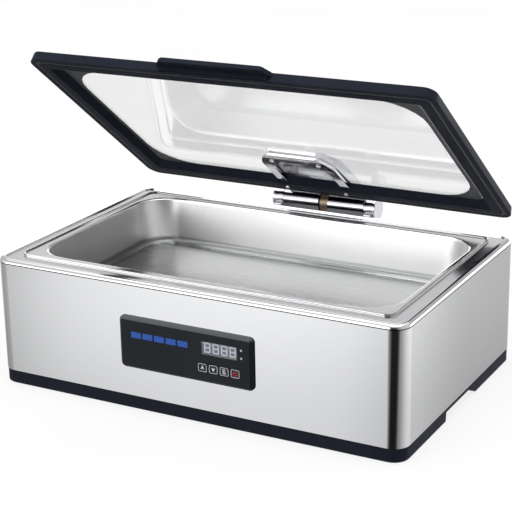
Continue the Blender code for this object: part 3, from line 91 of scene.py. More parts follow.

# The pan: its sheet's thickness and the fade from its floor, with its painted dark reflection, to
# the painted shade at the foot of its walls, the heights over which that painted shade fades out,
# the depth of its flange and the fade up to it, half the fade from the painted shade on its front
# edge to that on its rear edge, and the distances from its left end over which the painted shade on
# its walls and floor gives way to their full brightness.
PAN_SHEET, PAN_FLOOR_FADE = 0.0009, 0.0012
PAN_FOOT_START, PAN_FOOT_END = 0.0064, 0.0104
PAN_FLANGE_DEPTH, PAN_FLANGE_FADE = 0.0032, 0.001
PAN_EDGE_FADE = 0.02
PAN_LEFT_START, PAN_LEFT_END = 0.03, 0.12
# Share of the colour left near the left end: painted shade.
PAN_LEFT_SHADE_SHARE = (0.53, 0.53, 0.53)
PAN_WALL_TINT = (0.95, 0.952, 0.955)
# Painted shade at the foot of the walls, and a painted dark reflection on the floor.
PAN_FOOT_SHADE_TINT = (0.30, 0.31, 0.30)
PAN_FLOOR_DARK_REFLECTION_TINT = (0.56, 0.563, 0.568)
PAN_FLANGE_TINT = (0.80, 0.805, 0.81)
# Painted shade on the flange's rolled edge, darker at the rear than at the front.
PAN_FRONT_EDGE_SHADE_TINT = (0.42, 0.422, 0.426)
PAN_REAR_EDGE_SHADE_TINT = (0.21, 0.212, 0.216)

# Shares of the normal between which a face starts to count as level, or as off the rear wall.
PAN_LEVEL = (0.55, 0.95)
PAN_OFF_REAR_WALL = (-0.85, -0.35)
DECK_LEVEL = (0.90, 0.99)
PANEL_LEVEL = (0.3, 0.6)

# A painted dark reflection in a band round a chrome barrel: the upward share of the normal where it
# starts and ends, and its fade.
BAND_LOW, BAND_HIGH, BAND_EDGE = -0.06, 0.12, 0.10
BARREL_TINT = (0.46, 0.465, 0.485)
BARREL_BAND_REFLECTION_TINT = (0.075, 0.076, 0.082)

GLASS_INDEX, LENS_INDEX = 1.46, 1.45
GLASS_TINT = (0.925, 0.928, 0.931)
GLASS_ROUGH = 0.020
NAVY_BLACK = (0.0142, 0.0172, 0.0270)
PANEL_BLACK = (0.0068, 0.0098, 0.0150)
# Painted highlight on the panel's top chamfer.
PANEL_TOP_HIGHLIGHT_TINT = (0.075, 0.080, 0.088)

# Smoothing of the CAD nodes: corners closer than this are joined, and edges shallower than this
# are shaded smooth.
JOIN_DISTANCE = 0.00001
SHALLOW_ANGLE = 33.0

# Keys: the visible cap stands back from the CAD key by the margins, with an eased front edge.
KEY_NAMES = ("key_up", "key_down", "key_set", "key_power")
KEY_MARGIN_X, KEY_MARGIN_Z = 0.00095, 0.0009
KEY_SETBACK, KEY_CORNER, KEY_EASE = 0.00003, 0.0016, 0.0002
# The inset and corner radius of a printed outline's outer edge, then of its inner edge.
OUTLINE_EDGES = ((0.0002, 0.0019), (0.0009, 0.0013))
# The printed symbols, and the marks of the display.
SYMBOL_SIZE, POWER_SYMBOL_SHARE = 0.0033, 0.95
INK_DEPTH = 0.00012
TICK_WIDTH, TICK_HEIGHT, TICK_GAP, TICK_LEAN = 0.0005, 0.0019, 0.0009, 0.0003
SURROUND_WIDTH, SURROUND_RELIEF = 0.0011, 0.00004
SAME_POINT = 0.0000005
CORNER_STEPS, RING_STEPS, SURROUND_STEPS = 6, 20, 23

FLOOR_LEVEL, FLOOR_HALF = -0.0002, 6.0
FLOOR_GLOW = 0.80
TOP_LIGHT_PLACE, TOP_LIGHT_SIZE, TOP_LIGHT_POWER = (0.2, -0.3, 2.2), (2.0, 1.4), 14.0

# The studio's light as steel shows it, so the steel's own reflectance is divided out of it.
STEEL_REFLECTANCE = 0.70
# By azimuth (0 is towards the operator, 90 to the right): first near the floor, then at the height
# of the object's own walls.
LOW_LIGHT = (
    (-180, 0.50), (-150, 0.49), (-135, 0.46), (-118, 0.33), (-87, 0.24), (-60, 0.30), (-46, 0.33),
    (-39.5, 0.39), (-37, 0.62), (-33, 0.73), (-28, 0.77), (-25, 0.75), (-22.5, 0.56), (-16, 0.25),
    (-7, 0.09), (0, 0.013), (34, 0.010), (45, 0.05), (55, 0.24), (66, 0.30), (88, 0.50),
    (112, 0.67), (130, 0.72), (155, 0.72), (157, 0.66), (157.9, 0.45), (159.2, 0.39),
    (160.5, 0.355), (161.6, 0.34), (170, 0.42), (180, 0.50),
)
WALL_LIGHT = (
    (-180, 0.46), (-140, 0.44), (-110, 0.50), (-90, 0.55), (-62, 0.80), (-45, 1.00), (-30, 1.10),
    (-16, 0.90), (-6, 0.25), (2, 0.03), (36, 0.03), (48, 0.26), (70, 0.55), (110, 0.70),
    (140, 0.66), (157, 0.48), (180, 0.46),
)
# The light above, by elevation, ahead of the object and behind it.
FRONT_LIGHT = (
    (20, 0.6), (30, 0.60), (36, 0.54), (46, 0.52), (51, 0.62), (57, 1.6), (65, 1.6), (72, 1.0),
    (90, 0.9),
)
BACK_LIGHT = ((20, 0.46), (28, 0.58), (38, 0.80), (55, 0.97), (90, 0.95))
# Azimuths off the front between which the light above turns from the front table to the back one,
# and elevations between which low light turns to wall light, and wall light to the light above.
FRONT_TO_BACK = (95.0, 140.0)
LOW_TO_WALL = (-15.0, -3.0)
WALL_TO_ABOVE = (24.0, 42.0)
# Gain on all of it: a dip under the first pair of elevations, a rise between the two pairs, and the
# room's own gain over the second pair.
FLOOR_DIP, FLOOR_RISE, ROOM_GAIN = 0.86, 1.22, 1.07
DIP_TO_RISE = (-25.5, -18.5)
RISE_TO_ROOM = (-17.0, -9.0)
# A soft box to the front left, the lit sweep low behind the object, and the fade of their edges.
SOFT_EDGE = 5.0
BOX_AZIMUTH, BOX_ELEVATION = -29.0, 13.0
BOX_HALF_AZIMUTH, BOX_HALF_ELEVATION = 22.0, 10.0
BOX_LIGHT = (2.4, 2.4, 2.4)
SWEEP_AZIMUTHS = (128.0, 143.0)
SWEEP_ELEVATION, SWEEP_HALF_ELEVATION = 3.0, 11.0
SWEEP_LIGHT = (2.1, 2.1, 2.1)


# ---------------------------------------------------------------- node helpers

class NodeTree:
    """Short calls for the nodes that the materials and the studio are made of."""

    def __init__(self, tree):
        self.tree = tree

    def node(self, kind, **settings):
        made = self.tree.nodes.new(kind)
        for name, value in settings.items():
            setattr(made, name, value)
        return made

    def feed(self, target, value):
        """Sets a socket to a number or a colour, or links another socket to it."""
        if isinstance(value, (int, float)):
            target.default_value = value
        elif isinstance(value, tuple):
            target.default_value = (*value, 1.0)
        else:
            self.tree.links.new(value, target)

    def math(self, operation, first, second=None):
        step = self.node("ShaderNodeMath", operation=operation)
        self.feed(step.inputs[0], first)
        if second is not None:
            self.feed(step.inputs[1], second)
        return step.outputs[0]

    def axes(self, vector):
        """A vector's X, Y and Z, by name."""
        split = self.node("ShaderNodeSeparateXYZ")
        self.feed(split.inputs[0], vector)
        return split.outputs

    def spread(self, value, low, high, start=TEXTURE_LOW, end=TEXTURE_HIGH, curve="LINEAR"):
        """Goes from low to high while the value goes from start to end."""
        reach = self.node("ShaderNodeMapRange", interpolation_type=curve)
        ends = {"Value": value, "From Min": start, "From Max": end, "To Min": low, "To Max": high}
        for socket, given in ends.items():
            self.feed(reach.inputs[socket], given)
        return reach.outputs["Result"]

    def ease(self, value, start, end):
        """Goes smoothly from 0 to 1 while the value goes from start to end."""
        return self.spread(value, 0.0, 1.0, start, end, "SMOOTHSTEP")

    def mix_values(self, factor, first, second):
        mix = self.node("ShaderNodeMix")
        for index, value in ((0, factor), (2, first), (3, second)):
            self.feed(mix.inputs[index], value)
        return mix.outputs[0]

    def mix_colours(self, factor, first, second, blend="MIX"):
        mix = self.node("ShaderNodeMix", data_type="RGBA", blend_type=blend)
        for index, value in ((0, factor), (6, first), (7, second)):
            self.feed(mix.inputs[index], value)
        return mix.outputs[2]

    def light_table(self, value, table):
        """Light read by angle, from a table of angle and brightness."""
        low, high = table[0][0], table[-1][0]
        ramp = self.node("ShaderNodeValToRGB")
        stops = ramp.color_ramp.elements
        while len(stops) < len(table):
            stops.new(0.5)
        # All the places come first, because the stops sort themselves by place.
        for stop, entry in zip(stops, table):
            stop.position = (entry[0] - low) / (high - low)
        for stop, entry in zip(stops, table):
            stop.color = (entry[1], entry[1], entry[1], 1.0)
        self.feed(ramp.inputs["Fac"], self.spread(value, 0.0, 1.0, low, high))
        return ramp.outputs["Color"]


class Shader(NodeTree):
    """A material, with calls for its textures and for masks by place and by facing."""

    def __init__(self, name):
        self.material = bpy.data.materials.new(name)
        self.material.use_nodes = True
        super().__init__(self.material.node_tree)
        self.main = self.tree.nodes["Principled BSDF"]

    def set(self, **values):
        """Feeds the shader's own sockets; an underscore stands for a space in their names."""
        for socket, value in values.items():
            self.feed(self.main.inputs[socket.replace("_", " ")], value)

    def place(self, stretch=EVENLY, turn=NO_TURN):
        """The position in the shared frame, scaled along each axis and turned."""
        mapping = self.node("ShaderNodeMapping")
        mapping.inputs["Scale"].default_value = stretch
        mapping.inputs["Rotation"].default_value = turn
        self.feed(mapping.inputs["Vector"], self.node("ShaderNodeTexCoord").outputs["Object"])
        return mapping.outputs["Vector"]

    def noise(self, scale, detail=3.0, rough=0.55, stretch=EVENLY, turn=NO_TURN):
        texture = self.node("ShaderNodeTexNoise")
        self.feed(texture.inputs["Vector"], self.place(stretch, turn))
        for socket, value in (("Scale", scale), ("Detail", detail), ("Roughness", rough)):
            self.feed(texture.inputs[socket], value)
        return texture.outputs["Fac"]

    def mottle(self, texture, first, second, start=TEXTURE_LOW, end=TEXTURE_HIGH):
        """Goes from the first colour to the second while the texture goes from start to end."""
        return self.mix_colours(self.spread(texture, 0.0, 1.0, start, end), first, second)

    def place_mask(self, axis, start, end):
        """0 before start and 1 past end along the axis."""
        return self.spread(self.axes(self.place())[axis], 0.0, 1.0, start, end)

    def facing_mask(self, axis, start, end):
        """0 where the normal's share along the axis is under start, 1 where it is over end."""
        normal = self.node("ShaderNodeNewGeometry").outputs["Normal"]
        return self.spread(self.axes(normal)[axis], 0.0, 1.0, start, end)

    def bump(self, height, strength, distance):
        relief = self.node("ShaderNodeBump")
        for socket, value in (("Strength", strength), ("Distance", distance), ("Height", height)):
            self.feed(relief.inputs[socket], value)
        self.set(Normal=relief.outputs["Normal"])


def scaled(colour, share):
    return tuple(channel * share for channel in colour)


def raised(colour, amount):
    return tuple(channel + amount for channel in colour)


# ---------------------------------------------------------------- materials

def brushed_metal(name, colour, rough, grain, stretch=ALONG_X, contrast=0.06, relief=0.10):
    """Steel with a grain: fine streaks drawn out along one direction, over faint cloudiness."""
    shader = Shader(name)
    streaks = shader.noise(grain, 4.0, 0.6, stretch)
    clouds = shader.noise(9.0, 2.0, 0.5)
    fine = shader.spread(streaks, rough - 0.03, rough + 0.05)
    shader.set(
        Metallic=1.0,
        Base_Color=shader.mottle(streaks, scaled(colour, 1 - contrast), colour),
        Roughness=shader.math("ADD", fine, shader.spread(clouds, -0.03, 0.03)),
    )
    shader.bump(streaks, relief, GRAIN_DEPTH)
    return shader.material


def pan_inside(shader, streaks, above_floor, floor_top, left):
    """The pan's walls, foot and floor: painted shade at the foot, a painted dark reflection on the
    floor, and painted shade towards the left end but for the rear wall.
    """
    above_foot = shader.place_mask("Z", floor_top + PAN_FOOT_START, floor_top + PAN_FOOT_END)
    wall = shader.mix_colours(streaks, scaled(PAN_WALL_TINT, 0.98), PAN_WALL_TINT)
    # Painted shade at the foot of the walls, and a painted dark reflection on the floor.
    foot = shader.mix_colours(streaks, scaled(PAN_FOOT_SHADE_TINT, 0.93), PAN_FOOT_SHADE_TINT)
    floor = shader.mix_colours(streaks, scaled(PAN_FLOOR_DARK_REFLECTION_TINT, 0.95), PAN_FLOOR_DARK_REFLECTION_TINT)
    below = shader.mix_colours(above_floor, floor, foot)
    inside = shader.mix_colours(above_foot, below, wall)
    # Painted shade: walls and floor darker towards the left end, but for the rear wall.
    past_left = shader.place_mask("X", left + PAN_LEFT_START, left + PAN_LEFT_END)
    near_left = shader.math("SUBTRACT", 1.0, past_left)
    not_rear_wall = shader.facing_mask("Y", *PAN_OFF_REAR_WALL)
    shade = shader.math("MULTIPLY", not_rear_wall, near_left)
    share = shader.mix_colours(shade, WHITE, PAN_LEFT_SHADE_SHARE)
    return shader.mix_colours(1.0, inside, share, "MULTIPLY")


def pan_steel(name):
    """Deep-drawn pan: satin walls, a floor darkened by a painted dark reflection, painted shade at
    the foot between them, a polished flange with painted shade on its rolled edge.
    """
    shader = Shader(name)
    low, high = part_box("food_pan")
    floor_top = low.z + PAN_SHEET
    flange = high.z - PAN_FLANGE_DEPTH
    drawn = shader.noise(240.0, 2.0, 0.5, UP_THE_WALL)
    rolled = shader.noise(700.0, 4.0, 0.6, ALONG_X)
    above_floor = shader.place_mask("Z", floor_top, floor_top + PAN_FLOOR_FADE)
    on_flange = shader.place_mask("Z", flange, flange + PAN_FLANGE_FADE)
    grain = shader.mix_values(above_floor, rolled, drawn)
    streaks = shader.spread(grain, 0.0, 1.0)
    inside = pan_inside(shader, streaks, above_floor, floor_top, low.x)
    level = shader.facing_mask("Z", *PAN_LEVEL)
    # Painted shade on the rolled edge beside the flange's level top, darker towards the rear.
    to_rear = shader.place_mask("Y", -PAN_EDGE_FADE, PAN_EDGE_FADE)
    painted_edge_tone = shader.mix_colours(to_rear, PAN_FRONT_EDGE_SHADE_TINT, PAN_REAR_EDGE_SHADE_TINT)
    rolled_edge_shade = shader.mix_colours(level, painted_edge_tone, PAN_FLANGE_TINT)
    floor_rough = shader.spread(grain, 0.22, 0.30)
    wall_rough = shader.spread(grain, 0.285, 0.315)
    satin = shader.mix_values(above_floor, floor_rough, wall_rough)
    shader.set(
        Metallic=1.0,
        Base_Color=shader.mix_colours(on_flange, inside, rolled_edge_shade),
        Roughness=shader.mix_values(on_flange, satin, 0.13),
    )
    shader.bump(shader.mix_values(above_floor, grain, 0.5), 0.008, GRAIN_DEPTH)
    return shader.material


def shell_steel(name):
    """Satin sheet with painted shade darkening its top edge where it meets the deck."""
    shader = Shader(name)
    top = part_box("outer_shell")[1].z
    streaks = shader.noise(1400.0, 4.0, 0.6, ALONG_X)
    clouds = shader.noise(9.0, 2.0, 0.5)
    sheet = shader.mottle(streaks, scaled(STEEL_TINT, 0.98), STEEL_TINT)
    # Painted shade along the top edge, for the shadow in the gap under the deck.
    seam_shade = shader.place_mask("Z", top - SEAM_START, top - SEAM_FULL)
    fine = shader.spread(streaks, 0.05, 0.10)
    shader.set(
        Metallic=1.0,
        Base_Color=shader.mix_colours(seam_shade, sheet, SEAM_SHADE_TINT),
        Roughness=shader.math("ADD", fine, shader.spread(clouds, -0.01, 0.01)),
    )
    shader.bump(streaks, 0.006, GRAIN_DEPTH)
    return shader.material


def deck_steel(name):
    """Pressed deck: a polished outer band round a softer, satin top, the band darkened by a painted
    dark reflection.
    """
    shader = Shader(name)
    streaks = shader.noise(900.0, 4.0, 0.6, ALONG_X)
    sheet = shader.mottle(streaks, scaled(DECK_TINT, 0.98), DECK_TINT)
    # Painted dark reflection: the faces that don't look up are darkened.
    level = shader.facing_mask("Z", *DECK_LEVEL)
    share = shader.mix_colours(level, DECK_BAND_REFLECTION_SHARE, WHITE)
    band = shader.spread(streaks, 0.05, 0.08)
    top = shader.spread(streaks, 0.13, 0.17)
    shader.set(
        Metallic=1.0,
        Base_Color=shader.mix_colours(1.0, sheet, share, "MULTIPLY"),
        Roughness=shader.mix_values(level, band, top),
    )
    shader.bump(streaks, 0.006, GRAIN_DEPTH)
    return shader.material


def chrome(name, colour=(0.86, 0.87, 0.89), rough=0.05, band=None):
    """Bright plated metal with faint wipe marks, and, where a band colour is given, a painted dark
    reflection in a band where a round side turns level.
    """
    shader = Shader(name)
    wipes = shader.noise(60.0, 3.0, 0.6, (1.0, 1.0, 4.0))
    plated = shader.mottle(wipes, scaled(colour, 0.96), colour)
    # Painted dark reflection in a band round the side.
    if band:
        above = shader.facing_mask("Z", BAND_LOW - BAND_EDGE, BAND_LOW)
        past = shader.facing_mask("Z", BAND_HIGH, BAND_HIGH + BAND_EDGE)
        plated = shader.mix_colours(shader.math("SUBTRACT", above, past), plated, band)
    shader.set(
        Metallic=1.0,
        Base_Color=plated,
        Roughness=shader.spread(wipes, rough - 0.015, rough + 0.03),
    )
    shader.bump(shader.noise(900.0, 2.0), 0.02, 0.0001)
    return shader.material


def moulded_plastic(name, colour, rough, grain, relief, specular=0.5, painted_edge_tone=None):
    """Moulded plastic: a fine spark-eroded grain and slightly paler, smoother rubbed patches, and,
    where an edge tint is given, a painted highlight on the faces that look up.
    """
    shader = Shader(name)
    pits = shader.noise(grain, 2.0, 0.6)
    rubbed = shader.noise(14.0, 4.0, 0.6)
    face = shader.mottle(rubbed, colour, raised(colour, 0.0045), 0.45, 0.75)
    # Painted highlight: the faces that look up take the edge tint.
    if painted_edge_tone:
        face = shader.mix_colours(shader.facing_mask("Z", *PANEL_LEVEL), face, painted_edge_tone)
    worn = shader.spread(rubbed, rough + 0.04, rough - 0.05)
    shader.set(
        Specular_IOR_Level=specular,
        Base_Color=face,
        Roughness=shader.math("ADD", worn, shader.spread(pits, -0.03, 0.03)),
    )
    shader.bump(pits, relief, 0.00012)
    return shader.material


def rubber(name, colour, rough):
    """Dusty rubber, faintly pitted."""
    shader = Shader(name)
    dust = shader.noise(120.0, 5.0, 0.65)
    shader.set(
        Specular_IOR_Level=0.3,
        Base_Color=shader.mottle(dust, colour, raised(colour, 0.02), 0.5, 0.8),
        Roughness=shader.spread(dust, rough - 0.05, rough + 0.08),
    )
    shader.bump(shader.noise(1500.0, 2.0), 0.15, 0.0002)
    return shader.material


def pane(name):
    """Clear toughened glass with faint smears from wiping."""
    shader = Shader(name)
    smears = shader.noise(7.0, 5.0, 0.7, (1.0, 3.0, 1.0), (0.0, 0.0, 0.5))
    shader.set(
        IOR=GLASS_INDEX,
        Transmission_Weight=1.0,
        Base_Color=shader.mottle(smears, GLASS_TINT, scaled(GLASS_TINT, 0.985), 0.4, 0.8),
        Roughness=shader.spread(smears, GLASS_ROUGH, GLASS_ROUGH + 0.03, 0.45, 0.85),
    )
    return shader.material


def frosted_border(name, colour):
    """Ceramic print on the glass's edge: a dense dot screen that still lets light through."""
    shader = Shader(name)
    dots = shader.noise(1800.0, 1.0, 0.4)
    shader.set(
        IOR=GLASS_INDEX,
        Transmission_Weight=0.12,
        Specular_IOR_Level=0.25,
        Base_Color=shader.mottle(dots, colour, scaled(colour, 2.4), 0.45, 0.6),
        Roughness=shader.spread(dots, 0.30, 0.5),
    )
    shader.bump(dots, 0.1, 0.0001)
    return shader.material


def lamp_face(name, colour, glow, cells):
    """A lit diffuser with the cells of the lamps behind it showing through."""
    shader = Shader(name)
    cell = shader.noise(cells, 2.0, 0.5)
    face = shader.mottle(cell, scaled(colour, 0.82), colour)
    shader.set(
        Base_Color=face,
        Emission_Color=face,
        Emission_Strength=glow,
        Roughness=shader.spread(cell, 0.30, 0.42),
    )
    return shader.material


def smoked_window(name, colour):
    """Tinted clear plastic with a faint haze."""
    shader = Shader(name)
    haze = shader.noise(260.0, 2.0)
    shader.set(
        IOR=LENS_INDEX,
        Transmission_Weight=0.9,
        Base_Color=shader.mottle(haze, colour, scaled(colour, 1.08)),
        Roughness=shader.spread(haze, 0.03, 0.08),
    )
    return shader.material


def board_laminate(name):
    """Green laminate with the traces raised under the mask."""
    shader = Shader(name)
    traces = shader.noise(260.0, 0.0, 0.0, (1.0, 0.2, 1.0))
    shader.set(
        Base_Color=shader.mottle(traces, (0.012, 0.10, 0.045), (0.02, 0.17, 0.07), 0.48, 0.52),
        Roughness=shader.spread(traces, 0.32, 0.5),
    )
    shader.bump(traces, 0.2, 0.0001)
    return shader.material


def mineral_wool(name):
    """Matted pale fibres."""
    shader = Shader(name)
    fibres = shader.noise(420.0, 6.0, 0.8, (1.0, 0.25, 1.0), (0.0, 0.0, 0.6))
    shader.set(
        Base_Color=shader.mottle(fibres, (0.62, 0.58, 0.46), (0.86, 0.83, 0.74)),
        Roughness=shader.spread(fibres, 0.85, 1.0),
    )
    shader.bump(fibres, 0.6, 0.001)
    return shader.material


def printed_ink(name, colour, rough=0.45):
    """Screen-printed ink, with the screen's fine mottle."""
    shader = Shader(name)
    screen = shader.noise(5200.0, 1.0)
    shader.set(
        Base_Color=shader.mottle(screen, scaled(colour, 0.86), colour),
        Roughness=shader.spread(screen, rough - 0.05, rough + 0.05),
    )
    return shader.material


def make_materials():
    """A material for each slot in the record, and special ones for single nodes."""
    navy = moulded_plastic("plastic_black", NAVY_BLACK, 0.50, 2600.0, 0.08, 0.04)
    film = moulded_plastic("panel_film", PANEL_BLACK, 0.22, 3200.0, 0.03, 0.17, PANEL_TOP_HIGHLIGHT_TINT)
    key_film = moulded_plastic("key_film", scaled(PANEL_BLACK, 0.6), 0.34, 3200.0, 0.05, 0.35)
    bronze = brushed_metal("bronze_sintered", (0.34, 0.25, 0.18), 0.42, 300.0, EVENLY, 0.25, 0.25)
    spring = brushed_metal("steel_spring", (0.42, 0.42, 0.44), 0.34, 400.0, ALONG_X, 0.12, 0.2)
    slots = {
        "brushed_steel": brushed_metal("steel_brushed", STEEL_TINT, 0.22, 900.0),
        "polished_steel": deck_steel("steel_deck"),
        "chrome": chrome("chrome_plate"),
        "bronze": bronze,
        "spring_steel": spring,
        "black_plastic": navy,
        "panel_black": film,
        "key_black": key_film,
        "black_rubber": rubber("rubber_black", (0.014, 0.014, 0.015), 0.75),
        "grey_silicone": rubber("silicone_grey", (0.075, 0.077, 0.082), 0.55),
        "clear_glass": pane("glass_clear"),
        "black_frit": frosted_border("glass_frit", (0.030, 0.033, 0.037)),
        "smoked_lens": smoked_window("lens_smoked", (0.80, 0.83, 0.88)),
        "blue_led": lamp_face("lamp_blue", (0.006, 0.072, 0.38), 0.25, 500.0),
        "white_led": lamp_face("lamp_white", (0.62, 0.66, 0.72), 0.34, 900.0),
        "circuit_board": board_laminate("board_green"),
        "insulation": mineral_wool("wool_mineral"),
    }
    barrels = chrome("chrome_barrels", BARREL_TINT, 0.05, BARREL_BAND_REFLECTION_TINT)
    caps = chrome("chrome_caps", (0.62, 0.62, 0.67), 0.12)
    backing = moulded_plastic("display_backing", (0.036, 0.045, 0.061), 0.5, 1800.0, 0.05)
    special = {
        "food_pan": pan_steel("steel_pan"),
        "outer_shell": shell_steel("steel_shell"),
        "display_module": backing,
        "clamp_loop": chrome("chrome_loop", (0.80, 0.805, 0.82), 0.08),
        "hinge_cover": chrome("chrome_cover", (0.62, 0.63, 0.65), 0.24),
        "hinge_cap_left": caps,
        "hinge_cap_right": caps,
        "hinge_bracket": chrome("chrome_bracket", BARREL_TINT, 0.05),
        "hinge_barrel_left": barrels,
        "hinge_barrel_right": barrels,
    }
    return slots, special


# ---------------------------------------------------------------- shading of the CAD nodes

def smooth_shading_group():
    """Joins the corners of the CAD's faces and smooths the shading across shallow edges."""
    group = bpy.data.node_groups.new("smooth_shallow_edges", "GeometryNodeTree")
    group.interface.new_socket("Geometry", in_out="INPUT", socket_type="NodeSocketGeometry")
    group.interface.new_socket("Geometry", in_out="OUTPUT", socket_type="NodeSocketGeometry")
    tree = NodeTree(group)
    merge = tree.node("GeometryNodeMergeByDistance")
    merge.inputs["Distance"].default_value = JOIN_DISTANCE
    forget = tree.node("GeometryNodeRemoveAttribute")
    forget.inputs["Name"].default_value = "custom_normal"
    faces = tree.node("GeometryNodeSetShadeSmooth", domain="FACE")
    edges = tree.node("GeometryNodeSetShadeSmooth", domain="EDGE")
    angle = tree.node("GeometryNodeInputMeshEdgeAngle")
    shallow = tree.node("FunctionNodeCompare", operation="LESS_THAN")
    tree.feed(shallow.inputs[0], angle.outputs["Unsigned Angle"])
    tree.feed(shallow.inputs[1], math.radians(SHALLOW_ANGLE))
    tree.feed(edges.inputs["Shade Smooth"], shallow.outputs[0])
    geometry = tree.node("NodeGroupInput").outputs[0]
    for step in (merge, forget, faces, edges):
        tree.feed(step.inputs["Geometry"], geometry)
        geometry = step.outputs["Geometry"]
    tree.feed(tree.node("NodeGroupOutput").inputs[0], geometry)
    return group


def dress_nodes(slots, special):
    """Gives every CAD node its material and its smooth shading."""
    group = smooth_shading_group()
    slot_of = {entry["node"]: entry["material_slot"] for entry in frame["record"]["subparts"]}
    for name, item in frame["nodes"].items():
        material = special.get(name, slots[slot_of[name]])
        for place in item.material_slots:
            place.material = material
        shading = item.modifiers.new("shading", "NODES")
        shading.node_group = group
        weights = item.modifiers.new("flat_faces_lead", "WEIGHTED_NORMAL")
        weights.keep_sharp = True


# ---------------------------------------------------------------- keys and printed marks

def add_object(name, data):
    item = bpy.data.objects.new(name, data)
    bpy.context.scene.collection.objects.link(item)
    return item


def flat_piece(name, loops, front, depth, body, material):
    """A thin plate that faces the front, cut to the outlines; a loop inside another is a hole."""
    drawing = bpy.data.curves.new(name, "CURVE")
    drawing.dimensions = "2D"
    drawing.fill_mode = "BOTH"
    drawing.extrude = depth / 2
    for loop in loops:
        spline = drawing.splines.new("POLY")
        spline.points.add(len(loop) - 1)
        for point, (x, z) in zip(spline.points, loop):
            point.co = (x, z, 0.0, 1.0)
        spline.use_cyclic_u = True
    outline = add_object(name, drawing)
    mesh = bpy.data.meshes.new_from_object(outline)
    bpy.data.objects.remove(outline)
    work = bmesh.new()
    work.from_mesh(mesh)
    bmesh.ops.remove_doubles(work, verts=work.verts, dist=SAME_POINT)
    for vertex in work.verts:
        x, z, out = vertex.co
        vertex.co = (x, front + depth / 2 - out, z)
    work.to_mesh(mesh)
    work.free()
    mesh.name = name
    mesh.materials.clear()
    mesh.materials.append(material)
    piece = add_object(name, mesh)
    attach(piece, body)
    return piece


def arc_points(x, z, radius, start, end, steps):
    points = []
    for step in range(steps + 1):
        angle = math.radians(start + (end - start) * step / steps)
        points.append((x + radius * math.cos(angle), z + radius * math.sin(angle)))
    return points


def rounded_loop(x, z, half_x, half_z, radius):
    points = []
    corners = ((1, 1, 0), (-1, 1, 90), (-1, -1, 180), (1, -1, 270))
    for side_x, side_z, start in corners:
        centre = (x + side_x * (half_x - radius), z + side_z * (half_z - radius))
        points += arc_points(*centre, radius, start, start + 90, CORNER_STEPS)
    return points


def shape_loop(x, z, size, shape):
    """An outline given as shares of a symbol's size about its middle."""
    return [(x + size * share_x, z + size * share_z) for share_x, share_z in shape]


def bar_loop(x, z, size, left, right, bottom, top):
    return shape_loop(x, z, size, ((left, bottom), (right, bottom), (right, top), (left, top)))


def arrow_loop(x, z, size, way):
    """An arrow head with a notched foot, pointing up where way is 1 and down where it is -1."""
    shape = ((0.0, way), (0.78, -0.75 * way), (0.0, -0.32 * way), (-0.78, -0.75 * way))
    return shape_loop(x, z, size, shape)


def menu_loops(x, z, size):
    """Three short bars, the last one longer: a generic mark for a settings key."""
    half, pitch, left = 0.17, 0.72, -0.75
    loops = []
    for row, right in ((1, 0.55), (0, 0.55), (-1, 0.80)):
        middle = pitch * row
        loops.append(bar_loop(x, z, size, left, right, middle - half, middle + half))
    return loops


def power_loops(x, z, size):
    """The standby mark: a ring open at the top, with a bar in the gap."""
    gap_left, gap_right = 125, 415
    outer = arc_points(x, z, size, gap_left, gap_right, RING_STEPS)
    inner = arc_points(x, z, size * 0.70, gap_left, gap_right, RING_STEPS)
    return [outer + inner[::-1], bar_loop(x, z, size, -0.15, 0.15, 0.1, 1.1)]


def key_cap(name, material):
    """The visible key: a rounded cap with an eased front edge, standing in the CAD key's place."""
    low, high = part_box(name)
    x, z = (low.x + high.x) / 2, (low.z + high.z) / 2
    half_x = (high.x - low.x) / 2 - KEY_MARGIN_X
    half_z = (high.z - low.z) / 2 - KEY_MARGIN_Z
    front = low.y + KEY_SETBACK
    depth = high.y - front
    outline = rounded_loop(x, z, half_x, half_z, KEY_CORNER)
    cap = flat_piece(name + "_film", [outline], front, depth, name + "_cap", material)
    ease = cap.modifiers.new("eased_edge", "BEVEL")
    ease.width = KEY_EASE
    ease.segments = 2
    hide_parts(name)
    return x, z, half_x, half_z, low.y


def make_keys(slots):
    """Caps, with an outline and a plain symbol printed on each."""
    white = printed_ink("ink_white", (0.82, 0.84, 0.88))
    grey = printed_ink("ink_grey", (0.70, 0.71, 0.74))
    red = printed_ink("ink_red", (0.62, 0.030, 0.035))
    for name in KEY_NAMES:
        x, z, half_x, half_z, face = key_cap(name, slots["key_black"])
        symbols = {
            "key_up": ([arrow_loop(x, z, SYMBOL_SIZE, 1)], white),
            "key_down": ([arrow_loop(x, z, SYMBOL_SIZE, -1)], white),
            "key_set": (menu_loops(x, z, SYMBOL_SIZE), white),
            "key_power": (power_loops(x, z, SYMBOL_SIZE * POWER_SYMBOL_SHARE), red),
        }
        ring = []
        for inset, corner in OUTLINE_EDGES:
            ring.append(rounded_loop(x, z, half_x - inset, half_z - inset, corner))
        prints = (("_outline", ring, grey), ("_mark", *symbols[name]))
        for ending, loops, ink in prints:
            flat_piece(name + ending, loops, face, INK_DEPTH, name + "_cap", ink)


